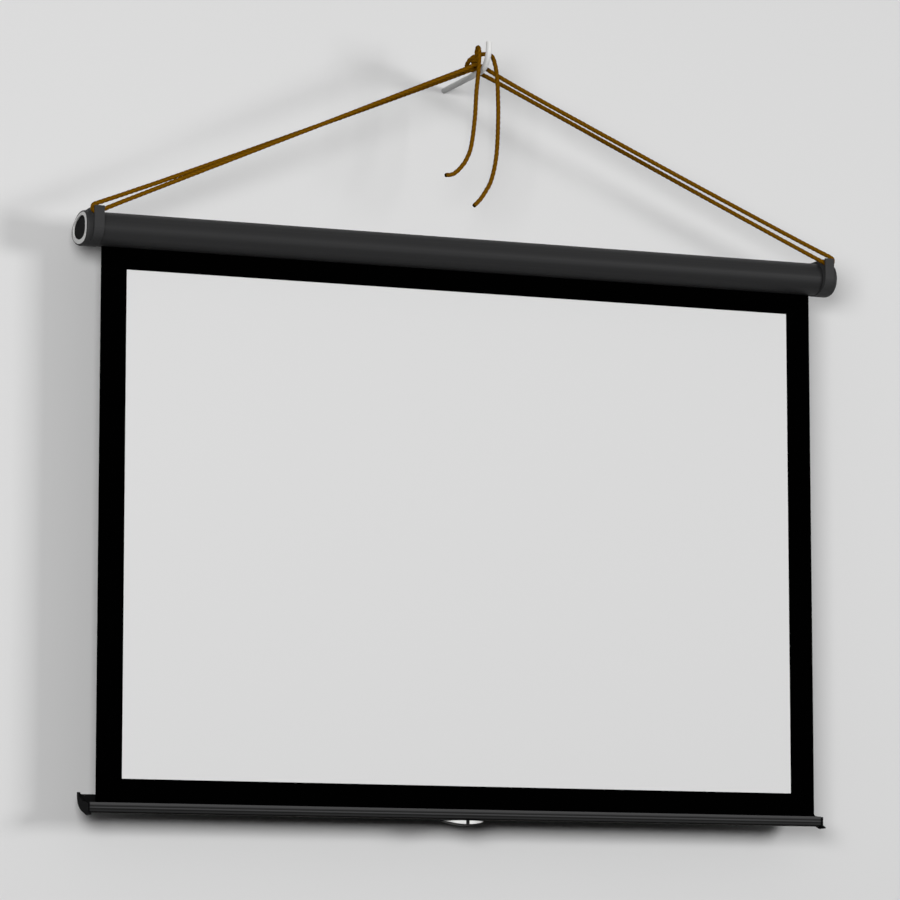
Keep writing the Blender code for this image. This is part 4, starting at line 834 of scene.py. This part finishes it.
def hang_cloth(black_cloth, white_coat):
    """The black backing and the white viewing layer, hung in place of their CAD nodes; the backing
    reaches up to the roller.
    """
    backing = hanging_sheet(
        "screen_backing", SHEET_HALF_WIDTH, ROLLER_AXIS[1], SHEET_BOTTOM, SHEET_FRONT, SHEET_THICKNESS,
        black_cloth,
    )
    view = hanging_sheet(
        "screen_view", VIEW_HALF_WIDTH, VIEW_TOP, VIEW_BOTTOM, VIEW_FRONT, VIEW_THICKNESS,
        white_coat,
    )
    backing_keep = 1 - SCREEN_TRAVEL / (ROLLER_AXIS[1] - SHEET_BOTTOM)
    for piece, node, keep in (
        (backing, "backing_sheet", backing_keep),
        (view, "viewing_surface", VIEW_KEEP),
    ):
        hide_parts(node)
        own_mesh(piece)


def edges_between(made, corners):
    """The edges among what an operator made that join the given corners."""
    edges = [item for item in made if isinstance(item, bmesh.types.BMEdge)]
    return [edge for edge in edges if edge.verts[0] in corners and edge.verts[1] in corners]


def wind_cloth(black_cloth):
    """The turns that stay on the roller, as one spiral from the tube outwards."""
    work = bmesh.new()
    y, z = ROLLER_AXIS
    corners = [work.verts.new((x, y, z + WOUND_INSIDE)) for x in (-SHEET_HALF_WIDTH, SHEET_HALF_WIDTH)]
    edge = work.edges.new(corners)
    flat = work.loops.layers.uv.new("UVMap")
    steps = round(WOUND_TURNS * WOUND_STEPS_PER_TURN)
    growth = (WOUND_OUTSIDE - WOUND_INSIDE) / steps
    centre = Matrix.Translation((0.0, y, z))
    for index in range(steps):
        radius = WOUND_INSIDE + growth * index
        size = (radius + growth) / radius
        made = bmesh.ops.extrude_edge_only(work, edges=[edge])["geom"]
        corners = [item for item in made if isinstance(item, bmesh.types.BMVert)]
        edge = edges_between(made, corners)[0]
        face = next(item for item in made if isinstance(item, bmesh.types.BMFace))
        turn = Matrix.Rotation(math.tau * WOUND_TURNS / steps, 4, "X")
        move = centre @ turn @ Matrix.Diagonal((1.0, size, size, 1.0)) @ centre.inverted()
        bmesh.ops.transform(work, matrix=move, verts=corners)
        for loop in face.loops:
            across = loop.vert.co.x / (SHEET_HALF_WIDTH * 2) + 0.5
            around = (index + (loop.vert in corners)) / steps
            loop[flat].uv = (across, around)
    bmesh.ops.recalc_face_normals(work, faces=work.faces)
    bmesh.ops.solidify(work, geom=work.faces, thickness=WOUND_CLOTH)
    piece = add_piece("wound_turns", work, black_cloth, "roller")
    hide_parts("wound_sheet")


def handle_screw(number, finish):
    """A pan-head screw with a cross recess, in the bar's gutter floor."""
    low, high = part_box(f"handle_screw_{number}")
    x, y = (low[0] + high[0]) / 2, (low[1] + high[1]) / 2
    radius = (high[0] - low[0]) / 2
    top = high[2]
    work = bmesh.new()
    face_half = radius * FACE_HALF
    half_slot = radius * RECESS_HALF_SLOT
    arm = radius * RECESS_ARM
    lines_at = (-face_half, -arm, -half_slot, half_slot, arm, face_half)
    cells = len(lines_at) - 1
    bmesh.ops.create_grid(work, x_segments=cells, y_segments=cells, size=face_half)
    for corner in work.verts:
        corner.co.x = lines_at[round((corner.co.x / face_half + 1) / 2 * cells)]
        corner.co.y = lines_at[round((corner.co.y / face_half + 1) / 2 * cells)]
    for corner in work.verts:
        if max(abs(corner.co.x), abs(corner.co.y)) > arm * 1.1:
            corner.co *= radius * FACE_ROUND / corner.co.length
    cross = []
    for face in work.faces:
        middle = face.calc_center_median()
        nearer, further = sorted((abs(middle.x), abs(middle.y)))
        if nearer < half_slot and further < arm:
            cross.append(face)
    sunk = bmesh.ops.extrude_face_region(work, geom=cross)["geom"]
    bmesh.ops.delete(work, geom=cross, context="FACES_ONLY")
    floor = [item for item in sunk if isinstance(item, bmesh.types.BMVert)]
    bmesh.ops.translate(work, vec=(0.0, 0.0, -radius * RECESS_DEPTH), verts=floor)
    bmesh.ops.scale(work, vec=(RECESS_TAPER, RECESS_TAPER, 1.0), verts=floor)
    outer = [edge for edge in work.edges if edge.is_boundary]
    for reach, drop in HEAD_OUTLINE:
        made = bmesh.ops.extrude_edge_only(work, edges=outer)["geom"]
        corners = [item for item in made if isinstance(item, bmesh.types.BMVert)]
        outer = edges_between(made, corners)
        for corner in corners:
            flat = Vector((corner.co.x, corner.co.y, 0.0)).normalized() * radius * reach
            corner.co = (flat.x, flat.y, radius * drop)
    made = bmesh.ops.extrude_edge_only(work, edges=outer)["geom"]
    corners = [item for item in made if isinstance(item, bmesh.types.BMVert)]
    for corner in corners:
        corner.co.z = low[2] - top
    bmesh.ops.holes_fill(work, edges=[edge for edge in work.edges if edge.is_boundary], sides=0)
    bmesh.ops.recalc_face_normals(work, faces=work.faces)
    bmesh.ops.translate(work, vec=(x, y, top), verts=work.verts)
    piece = add_piece(f"handle_cross_screw_{number}", work, finish, "bar", 30.0)
    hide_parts(f"handle_screw_{number}")


def dress(names, finish):
    """Give CAD nodes a finish through their own material slots."""
    for name in names:
        for slot in nodes[name].material_slots:
            slot.material = finish


# Wall, floor and light

def stage_plane(name, turn, place, width, height, finish):
    """A large flat backdrop piece."""
    work = bmesh.new()
    bmesh.ops.create_grid(work, x_segments=1, y_segments=1, size=0.5)
    size = Matrix.Diagonal((width, height, 1.0, 1.0))
    bmesh.ops.transform(work, matrix=Matrix.Translation(place) @ turn @ size, verts=work.verts)
    mesh = bpy.data.meshes.new(name)
    work.to_mesh(mesh)
    work.free()
    mesh.materials.append(finish)
    plane = bpy.data.objects.new(name, mesh)
    scene.collection.objects.link(plane)


def backdrop_paint(name, thrown, see_through=False, even=0.0):
    """Matt pale paint that throws a set share of its light back, and looks even by another share."""
    made, tree, shader = new_material(name, roughness=0.95, specular=0.1)
    mottled = noise(tree, object_place(tree), 3.0, 3.0, 0.5)
    paint = blend_colour(tree, mottled, grey(PALE_PAINT[0]), grey(PALE_PAINT[1]))
    tree.links.new(paint, shader["Base Color"])
    dim = add(tree, "ShaderNodeBsdfDiffuse", {"Color": grey(thrown)}).outputs[0]
    solid = tree.nodes["Principled BSDF"].outputs[0]
    flat = add(tree, "ShaderNodeEmission", {"Color": grey(EVEN_PAINT)}).outputs[0]
    seen = add(tree, "ShaderNodeMixShader", {0: even, 1: solid, 2: flat}).outputs[0]
    mixed = add(tree, "ShaderNodeMixShader", {0: seen_rays(tree), 1: dim, 2: seen}).outputs[0]
    if see_through:
        behind = tree.nodes.new("ShaderNodeNewGeometry").outputs["Backfacing"]
        clear = tree.nodes.new("ShaderNodeBsdfTransparent").outputs[0]
        mixed = add(tree, "ShaderNodeMixShader", {0: behind, 1: mixed, 2: clear}).outputs[0]
    tree.links.new(mixed, tree.nodes["Material Output"].inputs["Surface"])
    return made


def seen_rays(tree):
    """1 for rays from the camera, mirrors and glass, and 0 for scattered light."""
    rays = tree.nodes.new("ShaderNodeLightPath").outputs
    direct = calc(tree, "MAXIMUM", rays["Is Camera Ray"], rays["Is Transmission Ray"])
    return calc(tree, "MAXIMUM", direct, rays["Is Glossy Ray"])


def light_scene():
    """A faint light from all round and two broad soft panels, far off to the left and right."""
    scene.view_settings.view_transform = "Standard"
    world = bpy.data.worlds.new("studio")
    world.use_nodes = True
    scene.world = world
    tree = world.node_tree
    room = tree.nodes["Background"]
    room.inputs["Color"].default_value = grey(1.0)
    room.inputs["Strength"].default_value = ROOM_LIGHT
    seen = add(tree, "ShaderNodeBackground", {"Color": grey(SEEN_ROOM), "Strength": 1.0})
    mixed = add(tree, "ShaderNodeMixShader", {0: seen_rays(tree), 1: room.outputs[0], 2: seen.outputs[0]})
    tree.links.new(mixed.outputs[0], tree.nodes["World Output"].inputs["Surface"])
    for name, place, width, height, power in LAMPS:
        data = bpy.data.lights.new(name, "AREA")
        data.shape = "RECTANGLE"
        data.size = width
        data.size_y = height
        data.energy = power
        lamp = bpy.data.objects.new(name, data)
        lamp.location = place
        lamp.rotation_euler = (LAMPS_AIM - Vector(place)).to_track_quat("-Z", "Y").to_euler()
        lamp.visible_camera = False
        scene.collection.objects.link(lamp)


place_camera()
tie_rope(rope_fibre("rope_fibre"))

black_cloth = sheet_cloth("black_sheet_cloth", grey(0.0002), grey(0.0005), 0.92, 0.0, (1.61, 1.18))
white_coat = sheet_cloth("white_view_coat", grey(0.698), grey(0.711), 0.90, 0.12, (1.50, 1.04))
hang_cloth(black_cloth, white_coat)
wind_cloth(black_cloth)

screw_steel = machined_metal("screw_steel", colour(0.58, 0.58, 0.57), 0.30)
for number in (1, 2):
    handle_screw(number, screw_steel)

case_coat = coated_metal("case_coat", colour(0.0205, 0.0205, 0.0210), grey(0.05), 0.46, 0.09)
bar_coat = ribbed_bar_coat("bar_coat", colour(0.0720, 0.0720, 0.0730), 0.45, 0.012)
cap_plastic = moulded_plastic(
    "cap_plastic", colour(0.0350, 0.0350, 0.0358), 0.52, 0.06, worn=grey(0.05),
)
plate_plastic = moulded_plastic(
    "plate_plastic", colour(0.0030, 0.0030, 0.0032), 0.50, 0.01, worn=grey(0.015),
)
cover_plastic = moulded_plastic(
    "cover_plastic", colour(0.0085, 0.0085, 0.0088), 0.55, 0.01, scale=1200.0,
)
ring_plastic = moulded_plastic(
    "ring_plastic", colour(0.76, 0.76, 0.75), 0.38, 0.4, scale=900.0, depth=0.00002,
)
pad_plastic = moulded_plastic(
    "pad_plastic", colour(0.66, 0.66, 0.65), 0.38, 0.5, scale=900.0, depth=0.00002,
)
grip_plastic = moulded_plastic("grip_plastic", colour(0.003, 0.003, 0.0032), 0.50, 0.08)
plug_nylon = moulded_plastic("plug_nylon", colour(0.55, 0.55, 0.52), 0.50, 0.4, scale=700.0)
hook_paint = painted_rod("hook_paint", colour(0.755, 0.755, 0.745))
tube_aluminium = machined_metal("tube_aluminium", colour(0.65, 0.66, 0.67), 0.38)
spring_steel = machined_metal("spring_steel", colour(0.50, 0.50, 0.49), 0.28)

dress(["wall_hook"], hook_paint)
dress(["case_shell"], case_coat)
dress(["bottom_bar"], bar_coat)
dress(["left_end_cap", "right_end_cap"], cap_plastic)
dress(["left_bar_plate", "right_bar_plate"], plate_plastic)
dress(["left_cap_cover", "right_cap_cover"], cover_plastic)
dress(["left_cap_ring", "right_cap_ring"], ring_plastic)
dress(["left_handle_pad", "right_handle_pad"], pad_plastic)
dress(["handle_frame"], grip_plastic)
dress(["idle_plug", "ratchet_plug", "drive_plug"], plug_nylon)
dress(["roller_tube"], tube_aluminium)
dress(["idle_pin", "spring_spindle", "ratchet_wheel", "ratchet_pawl", "hem_rod"], screw_steel)
dress([f"{side}_cap_screw_{number}" for side in ("left", "right") for number in (1, 2, 3)], screw_steel)
dress(["torsion_spring"], spring_steel)

upright = Matrix.Rotation(math.radians(90), 4, "X")
wall_paint = backdrop_paint("wall_paint", WALL_THROWN, see_through=True)
floor_paint = backdrop_paint("floor_paint", FLOOR_THROWN, even=FLOOR_EVEN)
stage_plane("back_wall", upright, WALL_PLACE, *WALL_SIZE, wall_paint)
stage_plane("floor", Matrix.Identity(4), FLOOR_PLACE, *FLOOR_SIZE, floor_paint)
light_scene()
